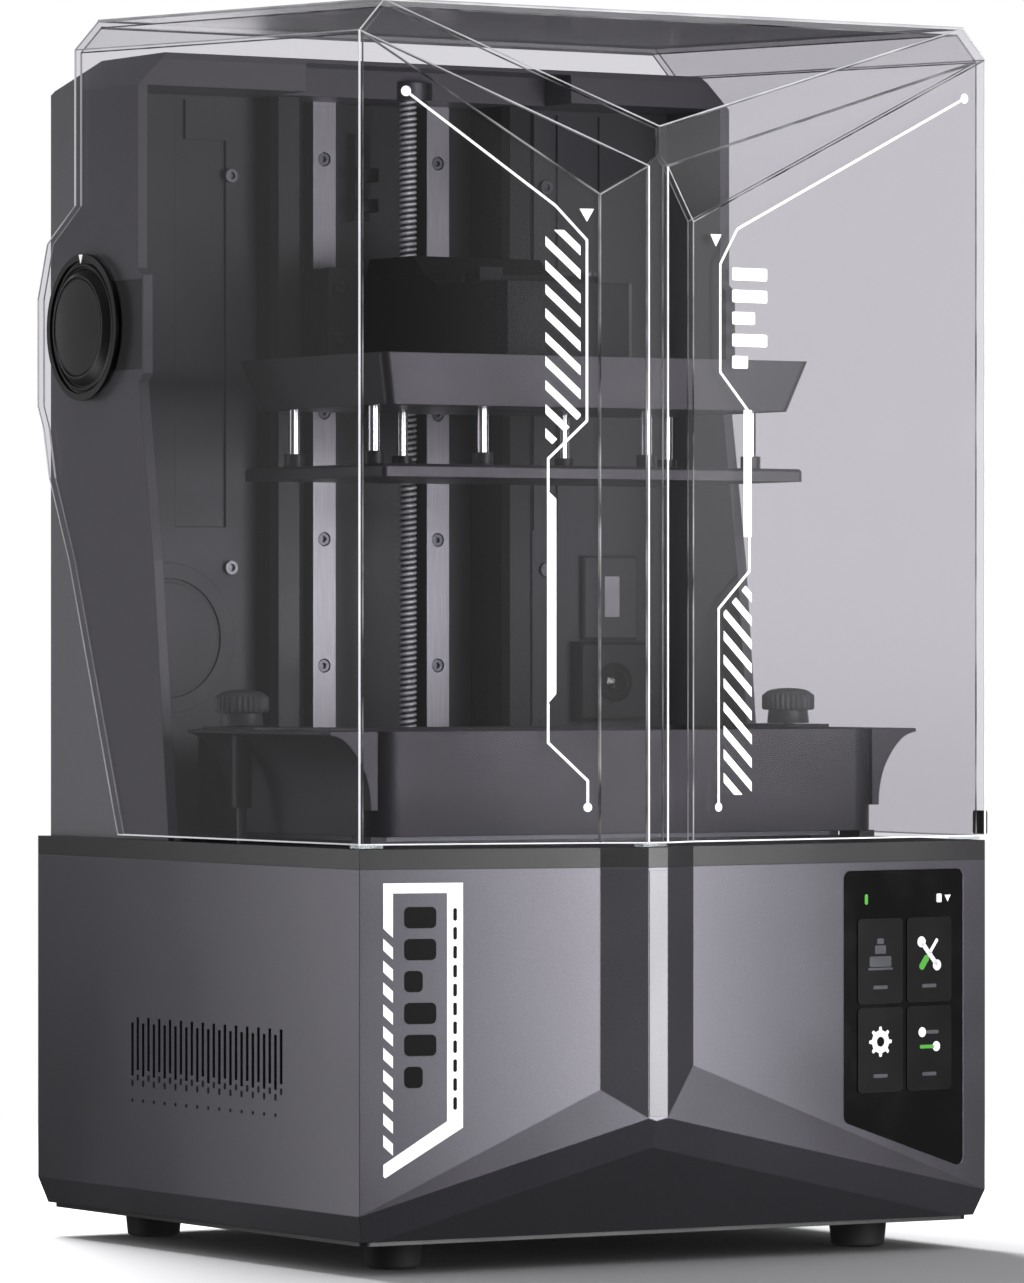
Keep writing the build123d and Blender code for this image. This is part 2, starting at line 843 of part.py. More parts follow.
# ---- rear tower ----------------------------------------------------------
notch_z = 20.0
bracket_front_y = tower_front_y - 4.0
tower_side = (
    (tower_back_y, deck_top),
    (tower_back_y, tower_top - 13),
    (tower_back_y - 21, tower_top),
    (tower_front_y + 2, tower_top),
    (tower_front_y, tower_top - 3),
    (tower_front_y, hinge_z + notch_z + 5),
    (tower_front_y - 5, hinge_z + notch_z + 2),
    (tower_front_y - 5, hinge_z - notch_z - 2),
    (tower_front_y - 1, hinge_z - notch_z - 6),
    (tower_front_y - 14.6, hinge_z - 105),
    (tower_front_y - 28.5, deck_top),
)
bracket_thickness = 2.0
cover_z = 270.0
cover_radius = 34.0
cover_side_gap = 0.5
cover_x = cover_side_gap + cover_radius - (tower_half - tower_wall)
with BuildPart() as tower_shell:
    extrude(side_profile(-tower_half, tower_side), amount=tower_width)
    chamfer(tower_shell.edges().filter_by(Axis.Y).group_by(Axis.Z)[-1], 15)
    slab(
        -tower_half + tower_wall,
        tower_half - tower_wall,
        0,
        liner_y,
        deck_top - 1,
        header_bottom,
        mode=Mode.SUBTRACT,
    )
    slab(
        -tower_half + tower_wall,
        tower_half - tower_wall,
        liner_y - 1,
        tower_back_y - wall,
        deck_top - 1,
        header_bottom - 6,
        mode=Mode.SUBTRACT,
    )
    slab(
        -column_half_width,
        column_half_width,
        0,
        rail_face_y + rail_depth + column_wall,
        header_bottom - 10,
        tower_top - 2,
        mode=Mode.SUBTRACT,
    )
    for side in (-1, 1):
        start = side * tower_half
        stop = side * (tower_half - bracket_thickness)
        slab(
            min(start, stop),
            max(start, stop),
            bracket_front_y,
            hinge_y,
            hinge_z - notch_z,
            hinge_z + notch_z,
            mode=Mode.SUBTRACT,
        )
    extrude(
        disc_facing_x(-tower_half - 1, hinge_pin_radius, [(hinge_y, hinge_z)]),
        amount=tower_width + 2,
        mode=Mode.SUBTRACT,
    )
save(tower_shell, "tower_shell")

with BuildPart() as hinge_brackets:
    for side in (-1, 1):
        start = side * tower_half
        stop = side * (tower_half - bracket_thickness)
        slab(
            min(start, stop),
            max(start, stop),
            bracket_front_y,
            hinge_y,
            hinge_z - notch_z,
            hinge_z + notch_z,
        )
    extrude(
        disc_facing_x(-tower_half - 1, hinge_pin_radius, [(hinge_y, hinge_z)]),
        amount=tower_width + 2,
        mode=Mode.SUBTRACT,
    )
save(hinge_brackets, "hinge_brackets")

with BuildPart() as hinge_pins:
    for side in (-1, 1):
        first = side * (tower_half - tower_wall)
        last = side * (half_width - part_gap)
        extrude(
            disc_facing_x(min(first, last), hinge_pin_radius, [(hinge_y, hinge_z)]),
            amount=abs(last - first),
        )
save(hinge_pins, "hinge_pins")

liner_thickness = 3.0
liner_grooves = ((-112, -107, 0), (-107, -86, 18), (75, 78, 0), (88, 91, 0), (111, 114, 0))
with BuildPart() as tower_liner:
    for side in (-1, 1):
        inner = side * column_half_width
        outer = side * (tower_half - tower_wall)
        slab(
            min(inner, outer),
            max(inner, outer),
            liner_y - liner_thickness,
            liner_y,
            deck_top,
            header_bottom,
        )
    for x0, x1, drop in liner_grooves:
        slab(
            x0,
            x1,
            liner_y - liner_thickness - 1,
            liner_y - liner_thickness + 1.4,
            deck_top + 140,
            header_bottom - 2 - drop,
            mode=Mode.SUBTRACT,
        )
    extrude(
        disc_facing_front(liner_y + 1, cover_radius - 6, [(cover_x, cover_z)]),
        amount=liner_thickness + 2,
        mode=Mode.SUBTRACT,
    )
save(tower_liner, "tower_liner")

liner_face = liner_y - liner_thickness
with BuildPart() as filter_cover:
    extrude(disc_facing_front(liner_face, cover_radius, [(cover_x, cover_z)]), amount=2.5)
    for ring in range(4):
        slot_radius = 8 + 6 * ring
        extrude(
            disc_facing_front(liner_face - 1.5, slot_radius + 1, [(cover_x, cover_z)]),
            amount=2,
            mode=Mode.SUBTRACT,
        )
        extrude(disc_facing_front(liner_face - 1.5, slot_radius - 1, [(cover_x, cover_z)]), amount=1)
save(filter_cover, "filter_cover")

with BuildPart() as air_filter:
    extrude(
        disc_facing_front(liner_y + 14, cover_radius - 7, [(cover_x, cover_z)]),
        amount=14 + liner_thickness,
    )
save(air_filter, "air_filter")

liner_screw_places = [(x, z) for x in (-84, 84) for z in (302, 480)]
with BuildPart() as liner_screws:
    extrude(disc_facing_front(liner_face, 3.2, liner_screw_places), amount=2.2)
    extrude(disc_facing_front(liner_face - 2.2, 1.6, liner_screw_places), amount=-1.4, mode=Mode.SUBTRACT)
save(liner_screws, "liner_screws")

column_back_y = rail_face_y + rail_depth
with BuildPart() as z_column:
    slab(
        -column_half_width,
        column_half_width,
        column_front_y,
        column_back_y + column_wall,
        deck_top,
        header_bottom,
    )
    slab(
        -channel_half_width,
        channel_half_width,
        column_front_y - 1,
        column_back_y,
        deck_top - 1,
        header_bottom + 1,
        mode=Mode.SUBTRACT,
    )
    chamfer(z_column.edges().filter_by(Axis.Z).group_by(Axis.Y)[0], 3)
save(z_column, "z_column")

bearing_radius = 11.0
header_top = tower_top - 2
with BuildPart() as column_header:
    slab(
        -column_half_width,
        column_half_width,
        column_front_y - 8,
        column_back_y + column_wall,
        header_bottom,
        header_top,
    )
    extrude(disc_at(header_bottom - 1, bearing_radius, [(0, screw_y)]), amount=9, mode=Mode.SUBTRACT)
save(column_header, "column_header")

with BuildPart() as screw_bearing:
    extrude(disc_at(header_bottom, bearing_radius, [(0, screw_y)]), amount=8)
    extrude(
        disc_at(header_bottom - 1, screw_radius + running_gap, [(0, screw_y)]),
        amount=10,
        mode=Mode.SUBTRACT,
    )
save(screw_bearing, "screw_bearing")

rail_screw_z = [rail_bottom + 13.3 + rail_screw_pitch * index for index in range(6)]
rail_holes = [(side * rail_spacing / 2, z) for side in (-1, 1) for z in rail_screw_z]
screw_sink = 3.5
with BuildPart() as z_rails:
    for side in (-1, 1):
        rail_x = side * rail_spacing / 2
        slab(
            rail_x - rail_width / 2,
            rail_x + rail_width / 2,
            rail_face_y,
            column_back_y,
            rail_bottom,
            header_bottom,
        )
    extrude(disc_facing_front(rail_face_y, 3.2, rail_holes), amount=-screw_sink, mode=Mode.SUBTRACT)
save(z_rails, "z_rails")

with BuildPart() as rail_screws:
    extrude(disc_facing_front(rail_face_y + screw_sink, 2.8, rail_holes), amount=3.0)
    extrude(
        disc_facing_front(rail_face_y + screw_sink - 3.0, 1.3, rail_holes),
        amount=-1.6,
        mode=Mode.SUBTRACT,
    )
save(rail_screws, "rail_screws")

motor_top = deck_top - deck_skin
motor_half = 21.0
motor_height = 48.0
screw_foot = motor_top - motor_height + 10
with BuildPart() as z_motor:
    slab(
        -motor_half,
        motor_half,
        screw_y - motor_half,
        screw_y + motor_half,
        motor_top - motor_height,
        motor_top,
    )
    chamfer(z_motor.edges().filter_by(Axis.Z), 4)
    extrude(
        disc_at(screw_foot - 1, screw_radius + running_gap, [(0, screw_y)]),
        amount=motor_height,
        mode=Mode.SUBTRACT,
    )
save(z_motor, "z_motor")

with BuildPart() as lead_screw:
    extrude(disc_at(screw_foot, screw_radius, [(0, screw_y)]), amount=header_bottom + 7 - screw_foot)
save(lead_screw, "lead_screw")

sensor_x = -9.0
with BuildPart() as limit_sensor:
    slab(sensor_x - 4, sensor_x + 4, column_back_y - 6, column_back_y, 462, 502)
    slab(sensor_x - 4, sensor_x + 4, column_back_y - 14, column_back_y - 6, 466, 472)
    slab(sensor_x - 4, sensor_x + 4, column_back_y - 14, column_back_y - 6, 480, 486)
save(limit_sensor, "limit_sensor")

camera_x = 117.0
camera_z = 249.5
camera_proud = 9.0
with BuildPart() as camera_housing:
    slab(camera_x - 19, camera_x + 19, liner_face - camera_proud, liner_face, camera_z - 18, camera_z + 19)
    chamfer(camera_housing.faces().sort_by(Axis.Y)[0].edges(), 1.5)
    extrude(
        disc_facing_front(liner_face - camera_proud, 9.4, [(camera_x, camera_z)]),
        amount=-3,
        mode=Mode.SUBTRACT,
    )
save(camera_housing, "camera_housing")

with BuildPart() as camera_lens:
    extrude(disc_facing_front(liner_face - camera_proud + 3, 9.2, [(camera_x, camera_z)]), amount=3)
    extrude(disc_facing_front(liner_face - camera_proud, 7.4, [(camera_x, camera_z)]), amount=1.6)
    extrude(
        disc_facing_front(liner_face - camera_proud - 1.6, 5.2, [(camera_x, camera_z)]),
        amount=-2.4,
        mode=Mode.SUBTRACT,
    )
save(camera_lens, "camera_lens")

with BuildPart() as light_window:
    slab(camera_x - 14, camera_x + 16, liner_face - 4, liner_face, camera_z + 20, camera_z + 59)
    chamfer(light_window.faces().sort_by(Axis.Y)[0].edges(), 1.0)
save(light_window, "light_window")

# ---- clear lid -----------------------------------------------------------
lid_slope = lid_top_rise / (hinge_y + 8.4 - front_y)
lid_left = (-half_width, front_y, lid_corner)
lid_right = (half_width, front_y, lid_corner)
crease_left = (-half_width + lid_top_inset, front_y, lid_crease)
crease_right = (half_width - lid_top_inset, front_y, lid_crease)
brow_left = (strip_left, ridge_y, lid_corner - 55.0)
brow_right = (strip_right, ridge_y, lid_corner - 55.0)
apex = (ridge_x, ridge_y + 1.7, lid_crease - 51.3)
lid_rear_y = hinge_y + 8.4
lid_cuts = [
    (lid_left, brow_left, crease_left),
    (lid_right, brow_right, crease_right),
    (crease_left, crease_right, apex),
    (crease_left, crease_right, (0, front_y + 100, lid_crease + 100 * lid_slope)),
    (lid_left, (-half_width, front_y + 100, lid_corner + 100 * lid_slope), crease_left),
    (lid_right, (half_width, front_y + 100, lid_corner + 100 * lid_slope), crease_right),
]
shoulders_left = (lid_left, (facet_left, facet_y, lid_corner - 67.3), brow_left)
shoulders_right = (lid_right, (facet_right, facet_y, lid_corner - 77.6), brow_right)


def lid_volume(inset, bottom, back):
    """The solid bounded by the lid's facets, all moved inward by inset."""
    with BuildPart() as volume:
        extrude(plan_outline(bottom, inset), amount=lid_crease + 20 - bottom)
        if back > 0:
            slab(-half_width + inset, half_width - inset, 0, back_y + back, bottom, lid_crease + 20)
        add(
            ridge_shoulders(
                inset,
                shoulders_left,
                shoulders_right,
                lid_corner - 100,
                lid_crease + 20,
                inside_lid,
            ),
        )
        for cut in lid_cuts:
            split(bisect_by=cut_plane(inside_lid, *cut).offset(-inset), keep=Keep.BOTTOM)
    return volume.part


cheek_profile = (
    (ridge_y - 10, lid_bottom),
    (hinge_y - 32, lid_bottom),
    (hinge_y + 14, hinge_z - 105),
    (hinge_y + 33, hinge_z - 67),
    (hinge_y + 39, hinge_z - 44),
    (back_y, hinge_z - 34),
    (back_y, hinge_z + 14),
    (hinge_y + 35, hinge_z + 39),
    (lid_rear_y, hinge_z + 55),
    (lid_rear_y, lid_crease + 30),
    (ridge_y - 10, lid_crease + 30),
)
with BuildPart() as lid_shell:
    add(lid_volume(0, lid_bottom, 0))
    add(lid_volume(lid_wall, lid_bottom - 10, 50), mode=Mode.SUBTRACT)
    extrude(side_profile(-half_width - 5, cheek_profile), amount=body_width + 10, mode=Mode.INTERSECT)
    extrude(
        disc_facing_x(-half_width - 1, hinge_pin_radius + running_gap, [(hinge_y, hinge_z)]),
        amount=body_width + 2,
        mode=Mode.SUBTRACT,
    )
save(lid_shell, "lid_shell")

ring_inner = hinge_disc_radius - 3.0
ring_proud = 1.6
disc_foot = 1.2
with BuildPart() as hinge_rings:
    for side in (-1, 1):
        face = side * half_width
        extrude(disc_facing_x(face, hinge_disc_radius, [(hinge_y, hinge_z)]), amount=side * ring_proud)
        extrude(
            disc_facing_x(face, ring_inner, [(hinge_y, hinge_z)]),
            amount=side * 2 * ring_proud,
            mode=Mode.SUBTRACT,
        )
save(hinge_rings, "hinge_rings")

with BuildPart() as hinge_discs:
    for side in (-1, 1):
        face = side * half_width
        extrude(disc_facing_x(face, ring_inner - 1.0, [(hinge_y, hinge_z)]), amount=side * disc_foot)
        extrude(
            disc_facing_x(face + side * disc_foot, ring_inner - 2.0, [(hinge_y, hinge_z)]),
            amount=side * (hinge_disc_proud - disc_foot),
            taper=45,
        )
save(hinge_discs, "hinge_discs")

bumper_height = lid_gap
with BuildPart() as lid_bumpers:
    for bumper_x, bumper_y in (
        (-half_width + 7, front_y + 6),
        (half_width - 7, front_y + 6),
        (ridge_x, ridge_y + 6),
        (-half_width + 6, 30),
        (half_width - 6, 30),
    ):
        slab(
            bumper_x - 6,
            bumper_x + 6,
            bumper_y - 3.5,
            bumper_y + 3.5,
            lid_bottom - bumper_height + part_gap,
            lid_bottom,
        )
save(lid_bumpers, "lid_bumpers")

# ---- Z carriage, arm and build platform ----------------------------------
carriage_bottom = arm_bottom + 3.4
carriage_top = carriage_bottom + carriage_height
plate_back = carriage_plate_y + carriage_plate_thickness
block_front_y = rail_face_y - 14
with BuildPart() as carriage_blocks:
    for side in (-1, 1):
        rail_x = side * rail_spacing / 2
        slab(
            rail_x - 13,
            rail_x + 13,
            block_front_y,
            rail_face_y + 5,
            carriage_bottom + 1,
            carriage_top - 1,
        )
        slab(
            rail_x - rail_width / 2 - part_gap,
            rail_x + rail_width / 2 + part_gap,
            rail_face_y - part_gap,
            rail_face_y + 6,
            carriage_bottom,
            carriage_top,
            mode=Mode.SUBTRACT,
        )
save(carriage_blocks, "carriage_blocks")

leg_inner = 17.0
leg_outer = 50.0
with BuildPart() as carriage_plate:
    slab(-leg_outer, leg_outer, carriage_plate_y, plate_back, carriage_bottom, carriage_top)
    for side in (-1, 1):
        slab(
            min(side * leg_inner, side * (leg_outer - 4)),
            max(side * leg_inner, side * (leg_outer - 4)),
            plate_back,
            block_front_y,
            carriage_bottom,
            carriage_top,
        )
save(carriage_plate, "carriage_plate")

plate_screw_places = [(x, z) for x in (-45, 45) for z in (carriage_bottom + 9, carriage_top - 9)]
with BuildPart() as carriage_screws:
    extrude(disc_facing_front(carriage_plate_y, 2.8, plate_screw_places), amount=2.4)
    extrude(
        disc_facing_front(carriage_plate_y - 2.4, 1.3, plate_screw_places),
        amount=-1.5,
        mode=Mode.SUBTRACT,
    )
save(carriage_screws, "carriage_screws")

with BuildPart() as lead_nut:
    slab(-leg_inner, leg_inner, plate_back, screw_y + 9, carriage_bottom + 8, carriage_top - 8)
    extrude(
        disc_at(carriage_bottom, screw_radius + running_gap, [(0, screw_y)]),
        amount=carriage_height,
        mode=Mode.SUBTRACT,
    )
save(lead_nut, "lead_nut")

arm_top = arm_bottom + arm_height
with BuildPart() as arm:
    extrude(
        side_profile(
            -arm_half_width,
            (
                (arm_front_y, arm_bottom),
                (carriage_plate_y, arm_bottom),
                (carriage_plate_y, arm_top + 6),
                (30, arm_top + 6),
                (18, arm_top),
                (arm_front_y, arm_top),
            ),
        ),
        amount=2 * arm_half_width,
    )
    chamfer(arm.edges().filter_by(Axis.Z).group_by(Axis.Y)[0], 4)
save(arm, "arm")

cap_bottom = arm_top + 6
with BuildPart() as arm_cap:
    extrude(
        side_profile(
            -arm_half_width + 2,
            ((32, cap_bottom), (84, cap_bottom), (80, cap_bottom + 8), (42, cap_bottom + 8)),
        ),
        amount=2 * (arm_half_width - 2),
    )
save(arm_cap, "arm_cap")

lever_pivot_x = arm_half_width - 8
lever_pivot_y = -6.0
lever_thickness = 3.5
lever_z = arm_top + part_gap
with BuildPart() as lever_pin:
    extrude(disc_at(arm_top, 3.0, [(lever_pivot_x, lever_pivot_y)]), amount=lever_thickness + 1)
    extrude(disc_at(arm_top + lever_thickness + 1, 5.0, [(lever_pivot_x, lever_pivot_y)]), amount=1.5)
save(lever_pin, "lever_pin")

with BuildPart() as release_lever:
    extrude(
        rectangle_at(
            lever_z,
            lever_pivot_x - 62,
            lever_pivot_x + 7,
            lever_pivot_y - 7,
            lever_pivot_y + 7,
            6.5,
        ),
        amount=lever_thickness,
    )
    slab(
        lever_pivot_x - 62,
        lever_pivot_x - 50,
        lever_pivot_y - 12,
        lever_pivot_y - 2,
        lever_z,
        lever_z + lever_thickness + 3,
    )
    extrude(
        disc_at(lever_z - 1, 3.0 + running_gap, [(lever_pivot_x, lever_pivot_y)]),
        amount=lever_thickness + 6,
        mode=Mode.SUBTRACT,
    )
save(release_lever, "release_lever")

with BuildPart() as platform_body:
    with BuildSketch(Plane.XY.offset(body_bottom)):
        with Locations((0, platform_y)):
            RectangleRounded(body_bottom_width, body_bottom_depth, 4)
    with BuildSketch(Plane.XY.offset(arm_bottom)):
        with Locations((0, platform_y)):
            RectangleRounded(body_bottom_width + 2 * body_flare, body_bottom_depth + 2 * body_flare, 4)
    loft()
save(platform_body, "platform_body")

pin_places = [(x, platform_y + y) for x in (-98, -42.5, 42.5, 98) for y in (-35, 35)]
boss_radius = 4.5
boss_height = 6.0
with BuildPart() as guide_pins:
    extrude(
        disc_at(pin_bottom + boss_height + level_travel - 6, pin_radius, pin_places),
        amount=body_bottom - pin_bottom - boss_height - level_travel + 6,
    )
save(guide_pins, "guide_pins")

with BuildPart() as build_plate:
    extrude(
        rectangle_at(
            plate_bottom,
            -plate_width / 2,
            plate_width / 2,
            platform_y - plate_depth / 2,
            platform_y + plate_depth / 2,
            2.5,
        ),
        amount=plate_thickness,
    )
    chamfer(build_plate.faces().sort_by(Axis.Z)[-1].edges(), 1.2)
    extrude(disc_at(pin_bottom - 0.01, boss_radius, pin_places), amount=boss_height + 0.01)
    extrude(
        disc_at(pin_bottom - 1.5, pin_radius + running_gap, pin_places),
        amount=boss_height + 3,
        mode=Mode.SUBTRACT,
    )
save(build_plate, "build_plate")
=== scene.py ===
import math

import bmesh
import bpy
import numpy as np
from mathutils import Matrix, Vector


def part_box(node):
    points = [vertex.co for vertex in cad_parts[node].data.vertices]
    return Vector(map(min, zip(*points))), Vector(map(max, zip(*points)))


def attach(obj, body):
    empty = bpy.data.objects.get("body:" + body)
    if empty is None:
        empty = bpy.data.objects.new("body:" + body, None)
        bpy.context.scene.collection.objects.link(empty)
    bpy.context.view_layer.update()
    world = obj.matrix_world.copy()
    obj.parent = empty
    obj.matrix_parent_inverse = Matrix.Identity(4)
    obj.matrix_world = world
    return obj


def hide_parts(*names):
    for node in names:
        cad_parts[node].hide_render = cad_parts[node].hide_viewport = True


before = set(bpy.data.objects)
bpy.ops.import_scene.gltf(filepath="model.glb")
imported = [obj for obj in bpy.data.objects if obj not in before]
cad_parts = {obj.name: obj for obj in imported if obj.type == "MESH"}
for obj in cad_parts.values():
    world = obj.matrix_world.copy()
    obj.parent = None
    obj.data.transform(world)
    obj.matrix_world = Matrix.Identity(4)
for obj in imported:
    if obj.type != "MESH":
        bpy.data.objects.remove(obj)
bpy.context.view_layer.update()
print("frame loaded:", len(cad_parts), "CAD nodes")

mm = 0.001


# small tools: colours, nodes, meshes, outlines

def toLinear(hexCode):
    # sRGB hex to linear: each channel c becomes ((c + 0.055) / 1.055) ^ 2.4, or c / 12.92 when dark
    parts = [int(hexCode[i:i + 2], 16) / 255 for i in (1, 3, 5)]
    line = [c / 12.92 if c <= 0.04045 else ((c + 0.055) / 1.055) ** 2.4 for c in parts]
    return (*line, 1.0)


def addNode(tree, kind, values=None, links=None, **props):
    # one shader node: its properties, its socket values, and what feeds its sockets
    node = tree.nodes.new(kind)
    for key, value in props.items():
        setattr(node, key, value)
    for key, value in (values or {}).items():
        node.inputs[key].default_value = value
    for key, source in (links or {}).items():
        tree.links.new(source, node.inputs[key])
    return node


def newMaterial(name, values):
    # a Principled surface on Object coordinates, ready for patterns
    mat = bpy.data.materials.new(name)
    mat.use_nodes = True
    tree = mat.node_tree
    tree.nodes.clear()
    shader = addNode(tree, "ShaderNodeBsdfPrincipled", values)
    out = addNode(tree, "ShaderNodeOutputMaterial", links={"Surface": shader.outputs[0]})
    place = addNode(tree, "ShaderNodeTexCoord").outputs["Object"]
    return mat, tree, shader, place, out


def twoTones(tree, shader, pattern, dark, light):
    # the base colour runs between two sRGB tones as the pattern runs from 0 to 1
    tones = addNode(tree, "ShaderNodeMix", {6: toLinear(dark), 7: toLinear(light)}, {0: pattern},
                    data_type="RGBA")
    tree.links.new(tones.outputs[2], shader.inputs["Base Color"])


def grainBump(tree, place, grainMm, depthMm, detail=2.0, soften=0.4):
    # noise whose cells are grainMm wide, raised by depthMm, over edges rounded by soften mm
    grain = addNode(tree, "ShaderNodeTexNoise", {"Scale": 1 / (grainMm * mm), "Detail": detail},
                    {"Vector": place})
    rounded = addNode(tree, "ShaderNodeBevel", {"Radius": soften * mm}, samples=4)
    bump = addNode(tree, "ShaderNodeBump", {"Strength": 1.0, "Distance": depthMm * mm},
                   {"Height": grain.outputs["Fac"], "Normal": rounded.outputs[0]})
    return grain.outputs["Fac"], bump.outputs[0]


def slowVariation(tree, place, sizeMm, low, high):
    # soft clouds sizeMm wide, mapped to low..high, for uneven gloss and colour
    cloud = addNode(tree, "ShaderNodeTexNoise", {"Scale": 1 / (sizeMm * mm), "Detail": 3.0},
                    {"Vector": place})
    spread = addNode(tree, "ShaderNodeMapRange",
                     {"From Min": 0.35, "From Max": 0.65, "To Min": low, "To Max": high},
                     {"Value": cloud.outputs["Fac"]})
    return spread.outputs[0]


def makePiece(name, points, faces, material, body, smooth=None, merge=False):
    # a mesh in place, riding on its body; smooth is the angle under which edges are shaded round
    mesh = bpy.data.meshes.new(name)
    mesh.from_pydata(np.asarray(points, float).tolist(), [], [list(map(int, f)) for f in faces])
    work = bmesh.new()
    work.from_mesh(mesh)
    if merge:
        bmesh.ops.remove_doubles(work, verts=work.verts, dist=1e-7)
        bmesh.ops.dissolve_degenerate(work, edges=work.edges, dist=1e-7)
    bmesh.ops.recalc_face_normals(work, faces=work.faces)
    work.to_mesh(mesh)
    work.free()
    piece = bpy.data.objects.new(name, mesh)
    bpy.context.scene.collection.objects.link(piece)
    mesh.materials.append(material)
    if smooth is not None:
        mesh.shade_smooth()
        mesh.set_sharp_from_angle(angle=math.radians(smooth))
    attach(piece, body)
    return piece


def joinParts(parts):
    # several (points, faces) sets as one
    points, faces, start = [], [], 0
    for p, f in parts:
        points.append(np.asarray(p, float))
        faces += [[int(i) + start for i in q] for q in f]
        start += len(p)
    return np.concatenate(points), faces


def tubeFaces(rings, around):
    # quads between one ring of points and the next, closed round
    r, c = np.meshgrid(np.arange(rings - 1), np.arange(around), indexing="ij")
    here, beside = r * around + c, r * around + (c + 1) % around
    return np.stack([here, beside, beside + around, here + around], -1).reshape(-1, 4).tolist()


def turned(profile, steps, centre, axis, flute=None):
    # surface of revolution: each (radius, height) of the profile swept round the axis;
    # flute(angle, radius, height) may add to the radius
    prof = np.asarray(profile, float)
    ang = np.linspace(0, 2 * math.pi, steps, endpoint=False)
    rad = prof[:, :1] + np.zeros(steps)
    high = prof[:, 1:] + np.zeros(steps)
    if flute is not None:
        rad = rad + flute(ang, rad, high)
    a, b = rad * np.cos(ang), rad * np.sin(ang)
    axes = {"z": (a, b, high), "x": (high, a, b), "y": (a, high, b)}[axis]
    points = np.stack(axes, -1).reshape(-1, 3) + np.asarray(centre, float)
    return points, tubeFaces(len(prof), steps)


def panelFrame(start, end):
    # a vertical panel from start to end in plan, millimetres; out points away from the machine
    a, b = np.array([*start, 0.0]) * mm, np.array([*end, 0.0]) * mm
    along = (b - a) / np.linalg.norm(b - a)
    up = np.array([0.0, 0.0, 1.0])
    return {"origin": a, "along": along, "up": up, "out": np.cross(along, up)}


def plateOn(panel, outline, thick, lift=0.0):
    # a flat printed or raised shape: an outline in (along, up) mm on a panel, extruded outwards
    flat = np.asarray(outline, float) * mm
    base = panel["origin"] + flat[:, :1] * panel["along"] + flat[:, 1:] * panel["up"]
    low = base + panel["out"] * lift * mm
    high = low + panel["out"] * thick * mm
    n = len(flat)
    i = np.arange(n)
    sides = np.stack([i, (i + 1) % n, (i + 1) % n + n, i + n], -1).tolist()
    return np.concatenate([low, high]), [list(i[::-1]), list(i + n), *sides]


def layPlates(name, panel, shapes, thick, lift, material, body):
    # flat shapes laid on one panel as one piece
    points, faces = joinParts([plateOn(panel, shape, thick, lift) for shape in shapes])
    return makePiece(name, points, faces, material, body)


def strokeOutline(points, width):
    # the closed outline of a line of one width: each point moved half a width along its mitre
    p = np.asarray(points, float)
    step = np.diff(p, axis=0)
    unit = step / np.linalg.norm(step, axis=1)[:, None]
    side = np.stack([-unit[:, 1], unit[:, 0]], -1)
    first = np.concatenate([side[:1], side])
    last = np.concatenate([side, side[-1:]])
    mitre = first + last
    mitre = mitre / (1 + (first * last).sum(1))[:, None]
    return np.concatenate([p + mitre * width / 2, (p - mitre * width / 2)[::-1]])


def discOutline(x, y, radius, steps=24):
    # a circle: the centre plus the radius along cos and sin
    ang = np.linspace(0, 2 * math.pi, steps, endpoint=False)
    return np.stack([x + radius * np.cos(ang), y + radius * np.sin(ang)], -1)


def boxOutline(x0, y0, x1, y1):
    return np.array([(x0, y0), (x1, y0), (x1, y1), (x0, y1)])


def roundedOutline(x0, y0, x1, y1, radius, steps=6):
    # a rectangle whose corners are quarter circles
    turn = np.linspace(0, math.pi / 2, steps)
    corners = ((x1 - radius, y1 - radius, 0), (x0 + radius, y1 - radius, 1),
               (x0 + radius, y0 + radius, 2), (x1 - radius, y0 + radius, 3))
    arcs = [(cx, cy, turn + q * math.pi / 2) for cx, cy, q in corners]
    return np.concatenate([np.stack([cx + radius * np.cos(a), cy + radius * np.sin(a)], -1)
                           for cx, cy, a in arcs])


def gearOutline(x, y, root, tip, teeth):
    # the radius is tip where cos(teeth * angle) is over 0.1, and root elsewhere
    ang = np.linspace(0, 2 * math.pi, teeth * 8, endpoint=False)
    rad = np.where(np.cos(teeth * ang) > 0.1, tip, root)
    return np.stack([x + rad * np.cos(ang), y + rad * np.sin(ang)], -1)


def rotated(shape, x, y, degrees):
    # an outline turned about its own zero, then moved to x, y
    a = math.radians(degrees)
    turn = np.array([[math.cos(a), math.sin(a)], [-math.sin(a), math.cos(a)]])
    return np.asarray(shape, float) @ turn + np.array([x, y])


def clipped(shape, outline):
    # keeps what lies inside a convex outline: each side cuts the shape where it crosses
    for a, b in zip(outline, np.roll(outline, -1, axis=0)):
        if len(shape) == 0:
            break
        normal = np.array([a[1] - b[1], b[0] - a[0]])
        depth = (shape - a) @ normal
        kept = []
        for p, q, dp, dq in zip(shape, np.roll(shape, -1, axis=0), depth, np.roll(depth, -1)):
            if dp >= 0:
                kept.append(p)
            if dp * dq < 0:
                kept.append(p + (q - p) * dp / (dp - dq))
        shape = np.array(kept)
    return shape


def hatchBars(outline, hatch):
    # slanted bars at one pitch, falling to the right by the slope, cut to an anticlockwise outline;
    # first is the height where the top bar meets the left edge, and scraps under half a bar are dropped
    outline = np.asarray(outline, float)
    (x0, z0), x1 = outline.min(0), outline[:, 0].max()
    drop, thick = hatch["slope"] * (x1 - x0), hatch["thick"]
    bars = []
    for top in np.arange(hatch["first"], z0, -hatch["pitch"]):
        bar = np.array([(x0, top - thick), (x1, top - thick - drop), (x1, top - drop), (x0, top)])
        bar = clipped(bar, outline)
        if len(bar) > 2 and np.ptp(bar[:, 1]) > thick / 2:
            bars.append(bar)
    return bars


